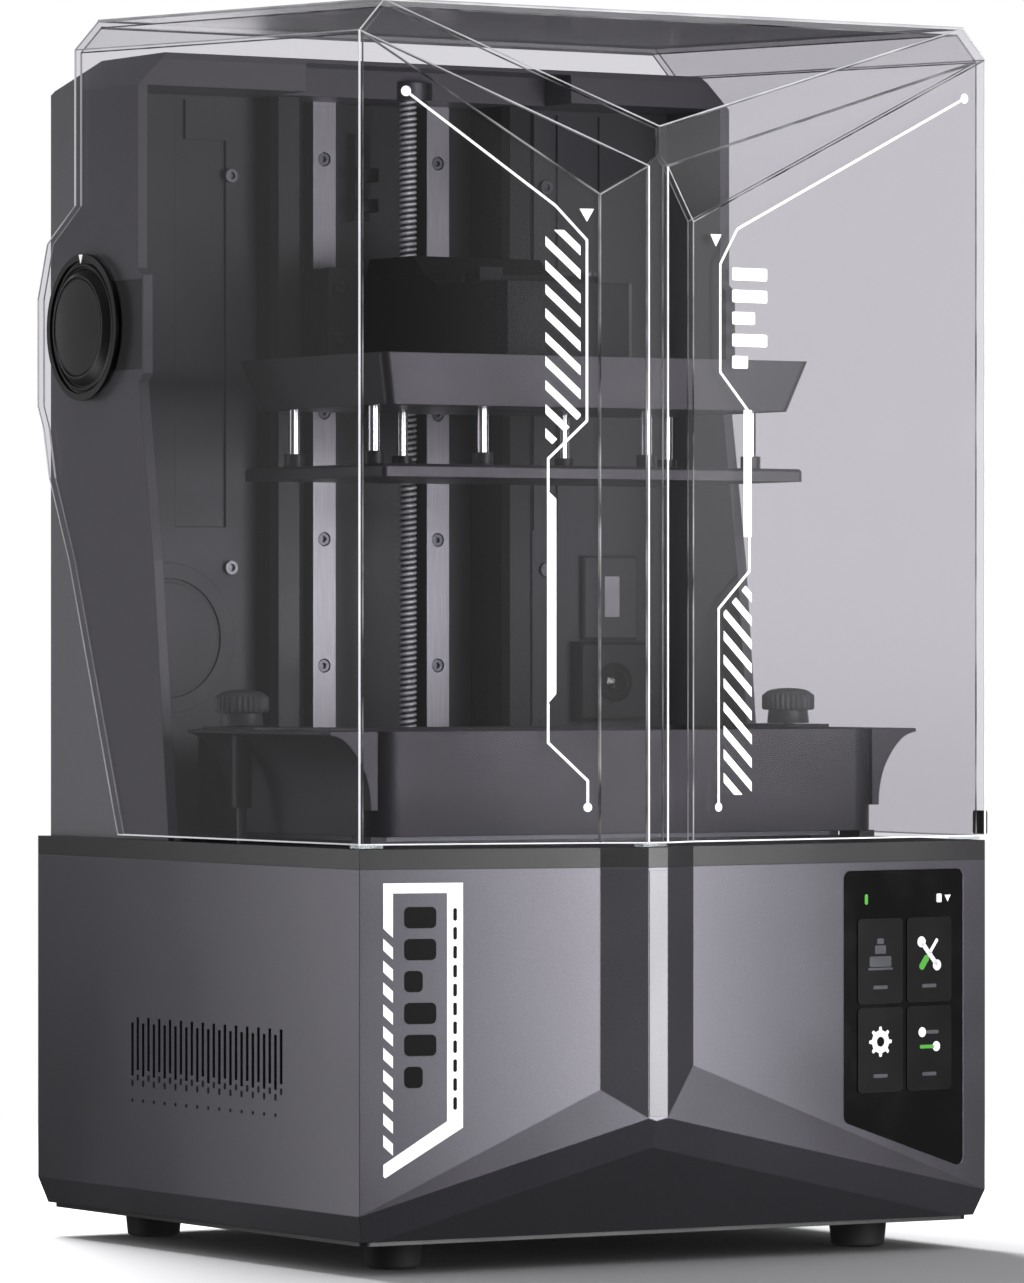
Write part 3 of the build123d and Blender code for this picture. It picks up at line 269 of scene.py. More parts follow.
# materials, each from what the real finish is

def powderCoatedSteel():
    # grey metallic powder coat on folded steel: fine sparkle, a soft wide sheen, faint orange peel
    mat, tree, shader, place, _ = newMaterial("powderCoatedSteel", {
        "Metallic": 0.88, "Coat Weight": 0.06, "Coat Roughness": 0.3})
    flakes = addNode(tree, "ShaderNodeTexVoronoi", {"Scale": 1 / (0.55 * mm)}, {"Vector": place})
    sparkle = addNode(tree, "ShaderNodeMapRange",
                      {"From Min": 0.0, "From Max": 1.0, "To Min": 0.3, "To Max": 0.62},
                      {"Value": flakes.outputs["Distance"]})
    twoTones(tree, shader, sparkle.outputs[0], "#4e4c52", "#6b6970")
    _, normal = grainBump(tree, place, 0.7, 0.02, 3.0, 0.7)
    tree.links.new(slowVariation(tree, place, 60, 0.34, 0.39), shader.inputs["Roughness"])
    tree.links.new(normal, shader.inputs["Normal"])
    return mat


def mouldedPlastic(name, dark, light, rough, grainMm=0.5, depthMm=0.02, soften=0.4):
    # moulded ABS: spark-eroded grain, a little lighter where the grain stands up
    mat, tree, shader, place, _ = newMaterial(name, {"IOR": 1.53, "Specular IOR Level": 0.45})
    grain, normal = grainBump(tree, place, grainMm, depthMm, 2.0, soften)
    twoTones(tree, shader, grain, dark, light)
    tree.links.new(slowVariation(tree, place, 40, rough - 0.04, rough + 0.04), shader.inputs["Roughness"])
    tree.links.new(normal, shader.inputs["Normal"])
    return mat


def anodisedMetal(name, dark, light, rough):
    # bead-blasted, anodised aluminium: a fine even blast grain and a dull metal sheen
    mat, tree, shader, place, _ = newMaterial(name, {"Metallic": 0.8})
    grain, normal = grainBump(tree, place, 0.35, 0.012, 2.0, 0.6)
    twoTones(tree, shader, grain, dark, light)
    tree.links.new(slowVariation(tree, place, 35, rough - 0.04, rough + 0.05), shader.inputs["Roughness"])
    tree.links.new(normal, shader.inputs["Normal"])
    return mat


def brushedSteel(name, dark, light, stretch, rough):
    # ground or brushed steel: noise stretched along the direction of grinding
    mat, tree, shader, place, _ = newMaterial(name, {"Metallic": 1.0})
    lines = addNode(tree, "ShaderNodeMapping", {"Scale": stretch}, {"Vector": place})
    scratch = addNode(tree, "ShaderNodeTexNoise", {"Scale": 1 / (0.5 * mm), "Detail": 4.0},
                      {"Vector": lines.outputs[0]})
    rounded = addNode(tree, "ShaderNodeBevel", {"Radius": 0.3 * mm}, samples=4)
    bump = addNode(tree, "ShaderNodeBump", {"Strength": 0.6, "Distance": 0.006 * mm},
                   {"Height": scratch.outputs["Fac"], "Normal": rounded.outputs[0]})
    twoTones(tree, shader, scratch.outputs["Fac"], dark, light)
    spread = addNode(tree, "ShaderNodeMapRange", {"To Min": rough - 0.08, "To Max": rough + 0.1},
                     {"Value": scratch.outputs["Fac"]})
    tree.links.new(spread.outputs[0], shader.inputs["Roughness"])
    tree.links.new(bump.outputs[0], shader.inputs["Normal"])
    return mat


def rolledThread():
    # rolled steel thread: near white on the crests as a painted highlight, dark in the roots as painted
    # shade; crest is the mesh's attribute
    mat, tree, shader, place, _ = newMaterial("rolledThread", {"Metallic": 0.35})
    height = addNode(tree, "ShaderNodeAttribute", attribute_name="crest").outputs["Fac"]
    twoTones(tree, shader, height, "#28282a", "#e2e2e3")
    tree.links.new(slowVariation(tree, place, 6, 0.22, 0.36), shader.inputs["Roughness"])
    return mat


def smokedAcrylic(name, tint, clearness, gloss, polish):
    # polished clear or grey acrylic: most light passes, tinted; the share that the face reflects is
    # gloss[0] * facing ^ 5 + gloss[1], so it grows at a slant
    mat = bpy.data.materials.new(name)
    mat.use_nodes = True
    tree = mat.node_tree
    tree.nodes.clear()
    passed = addNode(tree, "ShaderNodeBsdfTransparent", {"Color": toLinear(clearness)})
    face = addNode(tree, "ShaderNodeBsdfPrincipled", {
        "Base Color": toLinear(tint), "Metallic": 1.0, "Roughness": polish})
    facing = addNode(tree, "ShaderNodeLayerWeight", {"Blend": 0.5}).outputs["Facing"]
    steep = addNode(tree, "ShaderNodeMath", {1: 5.0}, {0: facing}, operation="POWER")
    share = addNode(tree, "ShaderNodeMath", {1: gloss[0], 2: gloss[1]}, {0: steep.outputs[0]},
                    operation="MULTIPLY_ADD")
    mix = addNode(tree, "ShaderNodeMixShader",
                  links={0: share.outputs[0], 1: passed.outputs[0], 2: face.outputs[0]})
    addNode(tree, "ShaderNodeOutputMaterial", links={"Surface": mix.outputs[0]})
    return mat


def paintedEdgeLine(name, colour, glow):
    # a bead on a cut acrylic edge, drawn in colour: its glow and pale tone are a painted highlight along the
    # edge, and dark grey with no glow is a painted shade line
    mat, tree, shader, place, _ = newMaterial(name, {
        "Roughness": 0.18, "IOR": 1.49, "Emission Color": toLinear(colour), "Emission Strength": glow})
    twoTones(tree, shader, slowVariation(tree, place, 25, 0.0, 0.35), colour, "#ffffff")
    return mat


def printedInk(name, dark, light, glow=0.0, shine=0.5):
    # screen-printed ink: opaque, satin, with a faint mesh texture; a glow above 0 is a painted glow that
    # makes the ink brighter than the lamps light it
    mat, tree, shader, place, _ = newMaterial(name, {
        "Roughness": 0.5, "Specular IOR Level": shine, "Emission Color": toLinear(light),
        "Emission Strength": glow})
    weave = addNode(tree, "ShaderNodeTexNoise", {"Scale": 1 / (0.8 * mm)}, {"Vector": place})
    twoTones(tree, shader, weave.outputs["Fac"], dark, light)
    return mat


def coverGlass():
    # black-backed cover glass: smooth, with a few faint wiping marks in its gloss
    mat, tree, shader, place, _ = newMaterial("coverGlass", {
        "Base Color": toLinear("#060607"), "IOR": 1.52, "Coat Weight": 0.6, "Coat Roughness": 0.03})
    tree.links.new(slowVariation(tree, place, 18, 0.10, 0.20), shader.inputs["Roughness"])
    return mat


def circuitBoard():
    # green solder mask over copper tracks: fine straight tracks just showing
    mat, tree, shader, place, _ = newMaterial("circuitBoard", {"Roughness": 0.38})
    tracks = addNode(tree, "ShaderNodeTexBrick", {
        "Scale": 1 / (9 * mm), "Color1": toLinear("#0f3a22"), "Color2": toLinear("#14482b"),
        "Mortar": toLinear("#2d7a48"), "Mortar Size": 0.03}, {"Vector": place})
    tree.links.new(tracks.outputs["Color"], shader.inputs["Base Color"])
    return mat


def litPlastic(name, colour, warmer, glow, shine):
    # translucent plastic lit from behind, as on a light guide or a display: a soft, slightly cloudy glow
    mat, tree, shader, place, _ = newMaterial(name, {
        "Roughness": 0.4, "Specular IOR Level": shine, "Emission Color": toLinear(colour),
        "Emission Strength": glow})
    twoTones(tree, shader, slowVariation(tree, place, 12, 0.0, 1.0), colour, warmer)
    return mat


# moulded rubber is dull and slightly mottled, and carbon fleece has deep black fibres
finish = {
    "housing": powderCoatedSteel(),
    "ridge": mouldedPlastic("silverTrim", "#77767b", "#88878c", 0.4, 0.5, 0.008),
    "band": mouldedPlastic("deckAbs", "#161617", "#252527", 0.42, 0.5, 0.02),
    "tower": mouldedPlastic("towerAbs", "#4f4d52", "#656368", 0.46, 0.6, 0.025, 0.8),
    "column": mouldedPlastic("columnPaint", "#161618", "#222224", 0.4, 0.6, 0.012, 0.5),
    "liner": mouldedPlastic("linerAbs", "#3a393c", "#4e4d51", 0.46, 0.6, 0.02, 0.5),
    "black": mouldedPlastic("blackNylon", "#0e0e10", "#1d1d20", 0.4, 0.5, 0.02, 0.5),
    "disc": mouldedPlastic("satinBlackDisc", "#09090a", "#101012", 0.34, 0.4, 0.006, 0.3),
    "rubber": mouldedPlastic("mouldedRubber", "#0c0c0d", "#1a1a1c", 0.72, 0.9, 0.04, 0.5),
    "filter": mouldedPlastic("filterFleece", "#0a0a0a", "#26262a", 0.9, 1.4, 0.5, 0.2),
    "arm": anodisedMetal("blackAnodised", "#141416", "#222225", 0.42),
    "platform": anodisedMetal("greyAnodised", "#403f42", "#4f4e51", 0.42),
    "vat": anodisedMetal("vatAnodised", "#323134", "#424144", 0.45),
    "rail": brushedSteel("groundSteel", "#807f83", "#b4b3b7", (1.0, 1.0, 0.02), 0.38),
    "pin": brushedSteel("polishedSteel", "#c9c9cc", "#f2f2f4", (1.0, 1.0, 0.1), 0.16),
    "bolt": brushedSteel("blackenedSteel", "#55555a", "#8a8a90", (1.0, 1.0, 1.0), 0.34),
    "sink": brushedSteel("extrudedAluminium", "#9d9da0", "#c4c4c6", (1.0, 0.04, 1.0), 0.4),
    "screen": coverGlass(),
    "board": circuitBoard(),
    "acrylic": smokedAcrylic("smokedAcrylic", "#f4f4f6", "#eeedef", (0.9, 0.035), 0.2),
    "clear": smokedAcrylic("clearGlass", "#f4f6f8", "#eef2f4", (1.0, 0.04), 0.08),
}

nodeFinish = {
    "base_shell": "housing", "bottom_pan": "band", "feet": "rubber", "deck_plate": "band",
    "screen_glass": "screen", "screen_module": "black", "io_panel": "black", "power_socket": "black",
    "usb_port": "bolt", "power_rocker": "disc", "mainboard": "board", "fan_housing": "black",
    "fan_rotor": "black", "heat_sink": "sink", "led_array": "board", "light_hood": "sink",
    "collimator_lens": "clear", "tilt_plate": "band", "tilt_brackets": "bolt", "lcd_panel": "screen",
    "film_frame": "bolt", "release_film": "clear", "vat_body": "vat", "tilt_actuator": "arm",
    "tilt_pusher": "pin", "tower_shell": "tower", "hinge_brackets": "black", "hinge_pins": "bolt",
    "tower_liner": "liner", "filter_cover": "liner", "air_filter": "filter", "liner_screws": "bolt",
    "z_column": "column", "column_header": "tower", "screw_bearing": "bolt", "z_rails": "rail",
    "rail_screws": "bolt", "z_motor": "arm", "limit_sensor": "black", "camera_housing": "black",
    "camera_lens": "disc", "light_window": "liner", "lid_shell": "acrylic", "hinge_rings": "disc",
    "lid_bumpers": "clear", "carriage_blocks": "arm", "carriage_plate": "platform",
    "carriage_screws": "bolt", "lead_nut": "arm", "arm": "arm", "arm_cap": "arm", "lever_pin": "bolt",
    "release_lever": "arm", "platform_body": "platform", "guide_pins": "pin", "build_plate": "platform",
}
for nodeName, key in nodeFinish.items():
    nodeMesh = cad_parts[nodeName].data
    nodeMesh.materials.clear()
    nodeMesh.materials.append(finish[key])
print("materials on", len(nodeFinish), "CAD nodes")

# panels that graphics lie on, in millimetres, from the same plan as the housing
prow = {"depth": 33.0, "ridgeX": -32.0, "strip": 9.6, "facet": 18.7, "rise": 9.1}
baseLow, baseHigh = (np.array(c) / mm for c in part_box("base_shell"))
cornerY = baseLow[1] + prow["depth"]
facetY = baseLow[1] + prow["rise"]
stripLeft, stripRight = prow["ridgeX"] - prow["strip"] / 2, prow["ridgeX"] + prow["strip"] / 2
leftPanel = panelFrame((baseLow[0], cornerY), (stripLeft - prow["facet"], facetY))
rightPanel = panelFrame((stripRight + prow["facet"], facetY), (baseHigh[0], cornerY))
leftFlank = panelFrame((baseLow[0], baseHigh[1]), (baseLow[0], cornerY))
rightFlank = panelFrame((baseHigh[0], cornerY), (baseHigh[0], baseHigh[1]))
stripPanel = panelFrame((stripLeft, baseLow[1]), (stripRight, baseLow[1]))

# bright ridge strip on the housing
strip = {"proud": 0.25, "inset": 0.3, "foot": 65.6, "top": 170.6}
stripShape = boxOutline(strip["inset"], strip["foot"], prow["strip"] - strip["inset"], strip["top"])
layPlates("ridge_strip", stripPanel, [stripShape], strip["proud"], 0.0, finish["ridge"],
          "housing")

# the lid's edges: a fine bead along each crease of its outer and inner skins, by the kind of edge, pale and
# glowing as a painted highlight on the outer, rim, brow and top creases, dark grey as painted shade on the
# inner and shallow ones;
# radii and lengths in mm, angles in degrees, steep as a share of the crease's length
edges = {"angle": 9.0, "sharp": 20.0, "flat": 1.0, "shortest": 4.0, "topBand": 12.0, "rimBand": 2.0,
         "steep": 0.95, "sides": 6}
# the pale glowing beads are painted highlights on the edges; the dark grey beads are painted shade
paintedHighlightEdge = paintedEdgeLine("edgeGlowPaintedHighlight", "#cfced3", 0.3)
paintedSoftHighlightEdge = paintedEdgeLine("edgeSoftGlowPaintedHighlight", "#a9a8ad", 0.05)
paintedShadeEdge = paintedEdgeLine("shadedEdge", "#2b2b2d", 0.0)
edgeBeads = {
    "outer": (0.45, paintedHighlightEdge), "rim": (0.32, paintedHighlightEdge), "brow": (0.34, paintedSoftHighlightEdge), "top": (0.75, paintedSoftHighlightEdge),
    "faint": (0.25, paintedShadeEdge), "inner": (0.35, paintedShadeEdge),
}
lidLow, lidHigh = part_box("lid_shell")


def findCreases(nodeName):
    # a CAD node's creases, read from a merged copy: edges whose two faces turn by more than the angle
    work = bmesh.new()
    work.from_mesh(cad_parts[nodeName].data)
    bmesh.ops.remove_doubles(work, verts=work.verts, dist=2e-6)
    bmesh.ops.dissolve_limit(work, angle_limit=math.radians(edges["flat"]), verts=work.verts,
                             edges=work.edges)
    paired = [e for e in work.edges if len(e.link_faces) == 2 and e.calc_length() > edges["shortest"] * mm]
    found = [
        {"start": e.verts[0].co[:], "end": e.verts[1].co[:], "turn": math.degrees(e.calc_face_angle(0)),
         "convex": e.is_convex}
        for e in paired if e.calc_face_angle(0) > math.radians(edges["angle"])
    ]
    work.free()
    return found


def edgeKind(crease):
    # which bead a crease gets, from its place and from how sharply its faces turn
    heights = crease["start"][2], crease["end"][2]
    if not crease["convex"]:
        return "inner"
    if min(heights) >= lidHigh[2] - edges["topBand"] * mm:
        return "top"
    if crease["turn"] < edges["sharp"]:
        return "faint"
    if max(heights) < lidLow[2] + edges["rimBand"] * mm:
        return "rim"
    upright = abs(heights[0] - heights[1]) > edges["steep"] * math.dist(crease["start"], crease["end"])
    return "outer" if upright else "brow"


def beadMesh(group, radius, sides):
    # a thin prism along each crease, from its start to its end
    a, b = np.array([c["start"] for c in group]), np.array([c["end"] for c in group])
    run = (b - a) / np.linalg.norm(b - a, axis=1)[:, None]
    helper = np.where(np.abs(run[:, 2:3]) > 0.9, np.array([[1.0, 0, 0]]), np.array([[0, 0, 1.0]]))
    u = np.cross(run, helper)
    u /= np.linalg.norm(u, axis=1)[:, None]
    v = np.cross(run, u)
    ang = np.linspace(0, 2 * math.pi, sides, endpoint=False)[None, :, None]
    ring = radius * (np.cos(ang) * u[:, None, :] + np.sin(ang) * v[:, None, :])
    points = np.concatenate([a[:, None, :] + ring, b[:, None, :] + ring], 1).reshape(-1, 3)
    k = np.arange(sides)
    wall = np.stack([k, (k + 1) % sides, (k + 1) % sides + sides, k + sides], -1)
    starts = np.arange(len(group)) * 2 * sides
    quads = (wall[None] + starts[:, None, None]).reshape(-1, 4).tolist()
    caps = [list(s + k[::-1]) for s in starts] + [list(s + k + sides) for s in starts]
    return points, quads + caps


creases = findCreases("lid_shell")
for kind, (radius, edgePaintedLight) in edgeBeads.items():
    group = [c for c in creases if edgeKind(c) == kind]
    if group:
        points, faces = beadMesh(group, radius * mm, edges["sides"])
        makePiece(f"lid_edge_{kind}", points, faces, edgePaintedLight, "lid")
    print("lid edges,", kind, len(group))

# white graphics printed on the lid: circuit lines, hatching, plain bars
ink = {"lift": 0.05, "thick": 0.15, "over": 0.1}
lidArt = {"fine": 1.1, "dot": 1.9, "startDot": 2.2}
lidBars = {"left": 22.0, "top": 424.0, "pitch": 9.5, "high": 5.4, "corner": 0.8,
           "widths": (20, 20, 13, 20, 9)}
leftHatch = {"first": 450.7, "pitch": 10.2, "thick": 4.1, "slope": 0.9}
rightHatch = {"first": 303.5, "pitch": 10.2, "thick": 4.1, "slope": 0.9}
# the white ink's glow is a painted glow
white = printedInk("whiteInkPaintedGlow", "#f2f2f4", "#ffffff", 0.25)
leftArt = [
    discOutline(20.6, 500.7, lidArt["startDot"]),
    strokeOutline([(20.6, 500.7), (87.3, 453.5), (101.4, 439.1), (101.4, 362.1), (84.0, 345.9),
                   (84.0, 332.0)], lidArt["fine"]),
    np.array([(83.5, 332.6), (87.6, 328.8), (87.6, 245.9), (83.5, 241.4)]),
    strokeOutline([(84.0, 241.8), (84.0, 225.2), (101.8, 208.9), (101.8, 198.2)], lidArt["fine"]),
    discOutline(101.8, 197.6, lidArt["dot"]),
    np.array([(98.1, 452.4), (104.6, 452.4), (101.4, 446.9)]),
    *hatchBars([(82.8, 351.0), (84.6, 351.0), (98.5, 364.0), (98.5, 443.2), (82.8, 443.2)], leftHatch),
]
rightArt = [
    discOutline(158.0, 508.4, lidArt["startDot"]),
    strokeOutline([(158.0, 508.4), (24.9, 446.1), (15.2, 430.7), (15.2, 384.2), (30.8, 368.2),
                   (30.8, 366.0)], lidArt["fine"]),
    boxOutline(28.6, 313.4, 33.1, 368.2),
    strokeOutline([(31.9, 314.0), (31.9, 298.7), (14.3, 282.4), (14.3, 197.0)], lidArt["fine"]),
    discOutline(14.3, 197.0, lidArt["dot"]),
    np.array([(9.6, 443.4), (15.9, 443.4), (12.7, 438.2)]),
    *hatchBars([(17.2, 202.2), (33.1, 202.2), (33.1, 295.6), (17.2, 280.8)], rightHatch),
]
for i, wide in enumerate(lidBars["widths"]):
    foot = lidBars["top"] - i * lidBars["pitch"]
    rightArt.append(roundedOutline(lidBars["left"], foot, lidBars["left"] + wide, foot + lidBars["high"],
                                   lidBars["corner"]))
for name, panel, art in (("lid_print_left", leftPanel, leftArt), ("lid_print_right", rightPanel, rightArt)):
    layPlates(name, panel, art, ink["thick"], ink["lift"], white, "lid")

# graphic on the housing's left front panel: a white frame with hatching, plain bars and dashes
badge = {"left": 10.5, "right": 45.9, "top": 166.1, "rail": 4.3, "column": 7.1, "railFoot": (147.0, 143.1),
         "columnFoot": (65.2, 62.4), "footTop": 47.3, "footLow": 41.6, "nick": 0.8, "hatchLow": 51.0}
badgeHatch = {"first": 142.8, "pitch": 9.2, "thick": 5.0, "slope": 0.9}
badgeBars = {"left": 20.0, "top": 147.0, "pitch": 13.5, "high": 9.0, "corner": 2.2,
             "widths": (14, 14, 8, 14, 14, 8)}
dashes = {"left": 41.6, "right": 43.2, "foot": 70.0, "pitch": 8.0, "high": 5.4, "corner": 0.7, "count": 11}
railRight, columnLeft = badge["left"] + badge["rail"], badge["right"] - badge["column"]
beamFoot = badge["top"] - badge["rail"]
frameArt = [
    boxOutline(badge["left"], beamFoot, badge["right"], badge["top"]),
    np.array([(columnLeft, beamFoot), (badge["right"], beamFoot), (badge["right"], badge["columnFoot"][1]),
              (columnLeft, badge["columnFoot"][0])]),
    np.array([(badge["left"], beamFoot), (railRight, beamFoot), (railRight, badge["railFoot"][1]),
              (badge["left"], badge["railFoot"][0])]),
    np.array([(badge["left"], badge["footTop"]), (columnLeft, badge["columnFoot"][0]),
              (badge["right"], badge["columnFoot"][1]), (badge["left"] + badge["nick"], badge["footLow"]),
              (badge["left"], badge["footLow"] + badge["nick"])]),
    *hatchBars(boxOutline(badge["left"], badge["hatchLow"], railRight, badge["railFoot"][0]), badgeHatch),
]
# this ink's glow is a painted glow as well
whitePanelInkPaintedGlow = printedInk("whitePanelInkPaintedGlow", "#f0f0f2", "#ffffff", 0.08)
layPlates("housing_print_frame", leftPanel, frameArt, ink["thick"], ink["lift"], whitePanelInkPaintedGlow,
          "housing")
blackInk = printedInk("blackPanelInk", "#050506", "#0b0b0c", shine=0.12)
barArt = []
for i, wide in enumerate(badgeBars["widths"]):
    foot = badgeBars["top"] - i * badgeBars["pitch"]
    barArt.append(roundedOutline(badgeBars["left"], foot, badgeBars["left"] + wide, foot + badgeBars["high"],
                                 badgeBars["corner"]))
for i in range(dashes["count"]):
    foot = dashes["foot"] + i * dashes["pitch"]
    barArt.append(roundedOutline(dashes["left"], foot, dashes["right"], foot + dashes["high"],
                                 dashes["corner"], 3))
layPlates("housing_print_bars", leftPanel, barArt, ink["thick"], ink["lift"] + ink["over"], blackInk,
          "housing")

# touch screen: dark tiles with plain icons, no words; each layer lies on the one before
touch = {"left": 94.7, "right": 150.1, "gap": 2.4, "rows": ((109.6, 147.0), (70.8, 108.0)), "corner": 2.0,
         "proud": 0.2, "layer": 0.06, "iconUp": (131.0, 93.0), "statusUp": 153.2}
tileWide = (touch["right"] - touch["left"] - touch["gap"]) / 2
tileLefts = (touch["left"], touch["left"] + tileWide + touch["gap"])
cx = (touch["left"] + tileWide / 2, touch["right"] - tileWide / 2)
cz = touch["iconUp"]
status = touch["statusUp"]


def screenLayer(name, shapes, mat, level):
    # level counts the layers below
    layPlates(name, rightPanel, shapes, touch["layer"], touch["proud"] + touch["layer"] * level, mat,
              "housing")


tiles = [roundedOutline(left, foot, left + tileWide, top, touch["corner"])
         for foot, top in touch["rows"] for left in tileLefts]
screenLayer("screen_tiles", tiles, litPlastic("litTile", "#0b0b0c", "#101011", 0.6, 0.15), 0)
screenLayer("screen_icons", [
    rotated(roundedOutline(-7.0, -1.1, 7.0, 1.1, 1.0), cx[1], cz[0], -48),
    rotated(roundedOutline(0.0, -0.8, 8.0, 0.8, 0.7), cx[1], cz[0], 52),
    discOutline(cx[1] - 4.6, cz[0] + 5.2, 2.4),
    discOutline(cx[1] + 4.6, cz[0] - 5.2, 2.4),
    gearOutline(cx[0], cz[1], 5.0, 6.6, 8),
    discOutline(cx[1] - 4.2, cz[1] + 3.4, 2.2),
    discOutline(cx[1] + 4.2, cz[1] - 3.0, 2.2),
    roundedOutline(141.2, status + 0.2, 144.2, status + 4.0, 0.6),
    np.array([(146.0, status + 3.4), (149.6, status + 3.4), (147.8, status + 0.4)]),
], litPlastic("litIcon", "#b9babd", "#c6c7ca", 0.35, 0.2), 1)
screenLayer("screen_dim_icons", [
    roundedOutline(cx[0] - 3.2, cz[0] + 0.5, cx[0] + 3.2, cz[0] + 4.2, 0.6),
    roundedOutline(cx[0] - 7.2, cz[0] - 6.6, cx[0] + 7.2, cz[0] - 5.6, 0.4),
    roundedOutline(cx[0] - 6.4, cz[0] - 5.2, cx[0] + 6.4, cz[0] - 0.6, 0.8),
    roundedOutline(cx[0] - 2.0, cz[0] + 4.8, cx[0] + 2.0, cz[0] + 7.2, 0.6),
    roundedOutline(cx[1] - 2.0, cz[1] + 2.6, cx[1] + 5.6, cz[1] + 4.2, 0.7),
    *[roundedOutline(x - 4.2, foot + 6.4, x + 4.2, foot + 8.0, 0.6) for x in cx for foot, _ in touch["rows"]],
], litPlastic("litDim", "#3a3b3e", "#45464a", 0.3, 0.15), 1)
screenLayer("screen_green", [
    rotated(roundedOutline(-8.6, -1.6, -1.2, 1.6, 1.5), cx[1], cz[0], 52),
    roundedOutline(cx[1] - 5.6, cz[1] - 3.8, cx[1] + 3.0, cz[1] - 2.2, 0.7),
    roundedOutline(touch["left"] + 4.0, status, touch["left"] + 5.8, status + 4.6, 0.8),
], litPlastic("litGreen", "#3c7a2e", "#468836", 0.35, 0.2), 1)
screenLayer("screen_dark_dots", [discOutline(cx[0], cz[1], 2.2)], finish["screen"], 2)

# small ticks and dots below the side vent, printed dark; every second one is lower and has a dot
ventMarks = {"count": 28, "middleY": 5.0, "pitch": 4.95, "half": 0.9, "foot": 73.6, "high": 3.0, "lower": 2.6,
             "dotUp": 64.8, "corner": 0.85, "thick": 0.12, "sunk": 0.02}
ticks = []
for i in range(ventMarks["count"]):
    run = baseHigh[1] - ventMarks["middleY"] - (i - (ventMarks["count"] - 1) / 2) * ventMarks["pitch"]
    foot = ventMarks["foot"] - (i % 2) * ventMarks["lower"]
    ticks.append(roundedOutline(run - ventMarks["half"], foot, run + ventMarks["half"],
                                foot + ventMarks["high"], ventMarks["corner"]))
    if i % 2:
        ticks.append(discOutline(run, ventMarks["dotUp"], ventMarks["corner"], 12))
layPlates("vent_ticks", leftFlank, ticks, ventMarks["thick"], -ventMarks["sunk"], blackInk,
          "housing")

# lead screw: a rolled thread, its radius rising and falling along a helix; the crest runs from 0 in the
# root to 1, as flatness less flank times the distance from the middle of the turn, kept to 0..1
thread = {"pitch": 2.6, "depth": 0.95, "around": 28, "perPitch": 8, "flatness": 1.6, "flank": 4.4}
screwLow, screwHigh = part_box("lead_screw")
axisX, axisY = (screwLow[0] + screwHigh[0]) / 2, (screwLow[1] + screwHigh[1]) / 2
outerRadius = (screwHigh[0] - screwLow[0]) / 2
turns = (screwHigh[2] - screwLow[2]) / (thread["pitch"] * mm)
zs = np.linspace(screwLow[2], screwHigh[2], int(turns * thread["perPitch"]))
ang = np.linspace(0, 2 * math.pi, thread["around"], endpoint=False)
phase = (zs[:, None] / (thread["pitch"] * mm) - ang[None, :] / (2 * math.pi)) % 1.0
crest = np.clip(thread["flatness"] - thread["flank"] * np.abs(phase - 0.5), 0, 1)
rad = outerRadius - thread["depth"] * mm * (1 - crest)
points = np.stack([axisX + rad * np.cos(ang), axisY + rad * np.sin(ang), zs[:, None] + 0 * rad], -1)
points = points.reshape(-1, 3)
n = thread["around"]
ends = [list(range(n))[::-1], list(range(len(points) - n, len(points)))]
screw = makePiece("lead_screw_thread", points, tubeFaces(len(zs), n) + ends, rolledThread(),
                  "z_screw", smooth=50)
crestValue = screw.data.attributes.new("crest", "FLOAT", "POINT")
crestValue.data.foreach_set("value", crest.ravel().astype(np.float32))
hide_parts("lead_screw")

# vat knobs: knurled rim and domed top, collar and stud below
knob = {"rim": 12.0, "flutes": 30, "cut": 0.7, "collar": 9.4, "stud": 2.2, "rimHeight": 10.0,
        "collarHeight": 6.0, "dome": 2.4, "shoulder": 10.4, "plain": 2.6}


def knobProfile(foot, top):
    # stud, collar, undercut, rim with rounded corners, then a dome: a quarter ellipse
    c0, c1 = top - knob["rimHeight"] - knob["collarHeight"], top - knob["rimHeight"]
    eave = top - knob["dome"]
    line = [(0, foot), (knob["stud"], foot), (knob["stud"], c0), (knob["collar"], c0),
            (knob["collar"] + 0.2, c0 + 0.4), (knob["collar"] - 0.4, c1), (knob["rim"] - 0.8, c1),
            (knob["rim"], c1 + 0.8), (knob["rim"], eave - 1.2), (knob["rim"] - 0.6, eave - 0.4),
            (knob["shoulder"], eave)]
    line += [(knob["shoulder"] * math.cos(t), eave + knob["dome"] * math.sin(t))
             for t in np.linspace(0, math.pi / 2, 9)[1:-1]]
    return np.array(line + [(0, top)]) * mm


def knurlBetween(rimLow, rimHigh):
    # flutes on the rim only: a cut of half its depth times (1 + cos(flutes * angle))
    def knurl(angle, radius, height):
        onRim = (height > rimLow) & (height < rimHigh) & (radius > (knob["rim"] - 1) * mm)
        return -1.0 * onRim * knob["cut"] * mm * (0.5 + 0.5 * np.cos(knob["flutes"] * angle))
    return knurl


for side in ("left", "right"):
    low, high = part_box(f"vat_knob_{side}")
    middle = ((low[0] + high[0]) / 2, (low[1] + high[1]) / 2, 0)
    knurl = knurlBetween(high[2] - knob["rimHeight"] * mm, high[2] - knob["plain"] * mm)
    points, faces = turned(knobProfile(low[2] / mm, high[2] / mm), 180, middle, "z", knurl)
    piece = makePiece(f"knurled_knob_{side}", points, faces, finish["liner"], f"knob_{side}", 35,
                      merge=True)
    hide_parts(f"vat_knob_{side}")

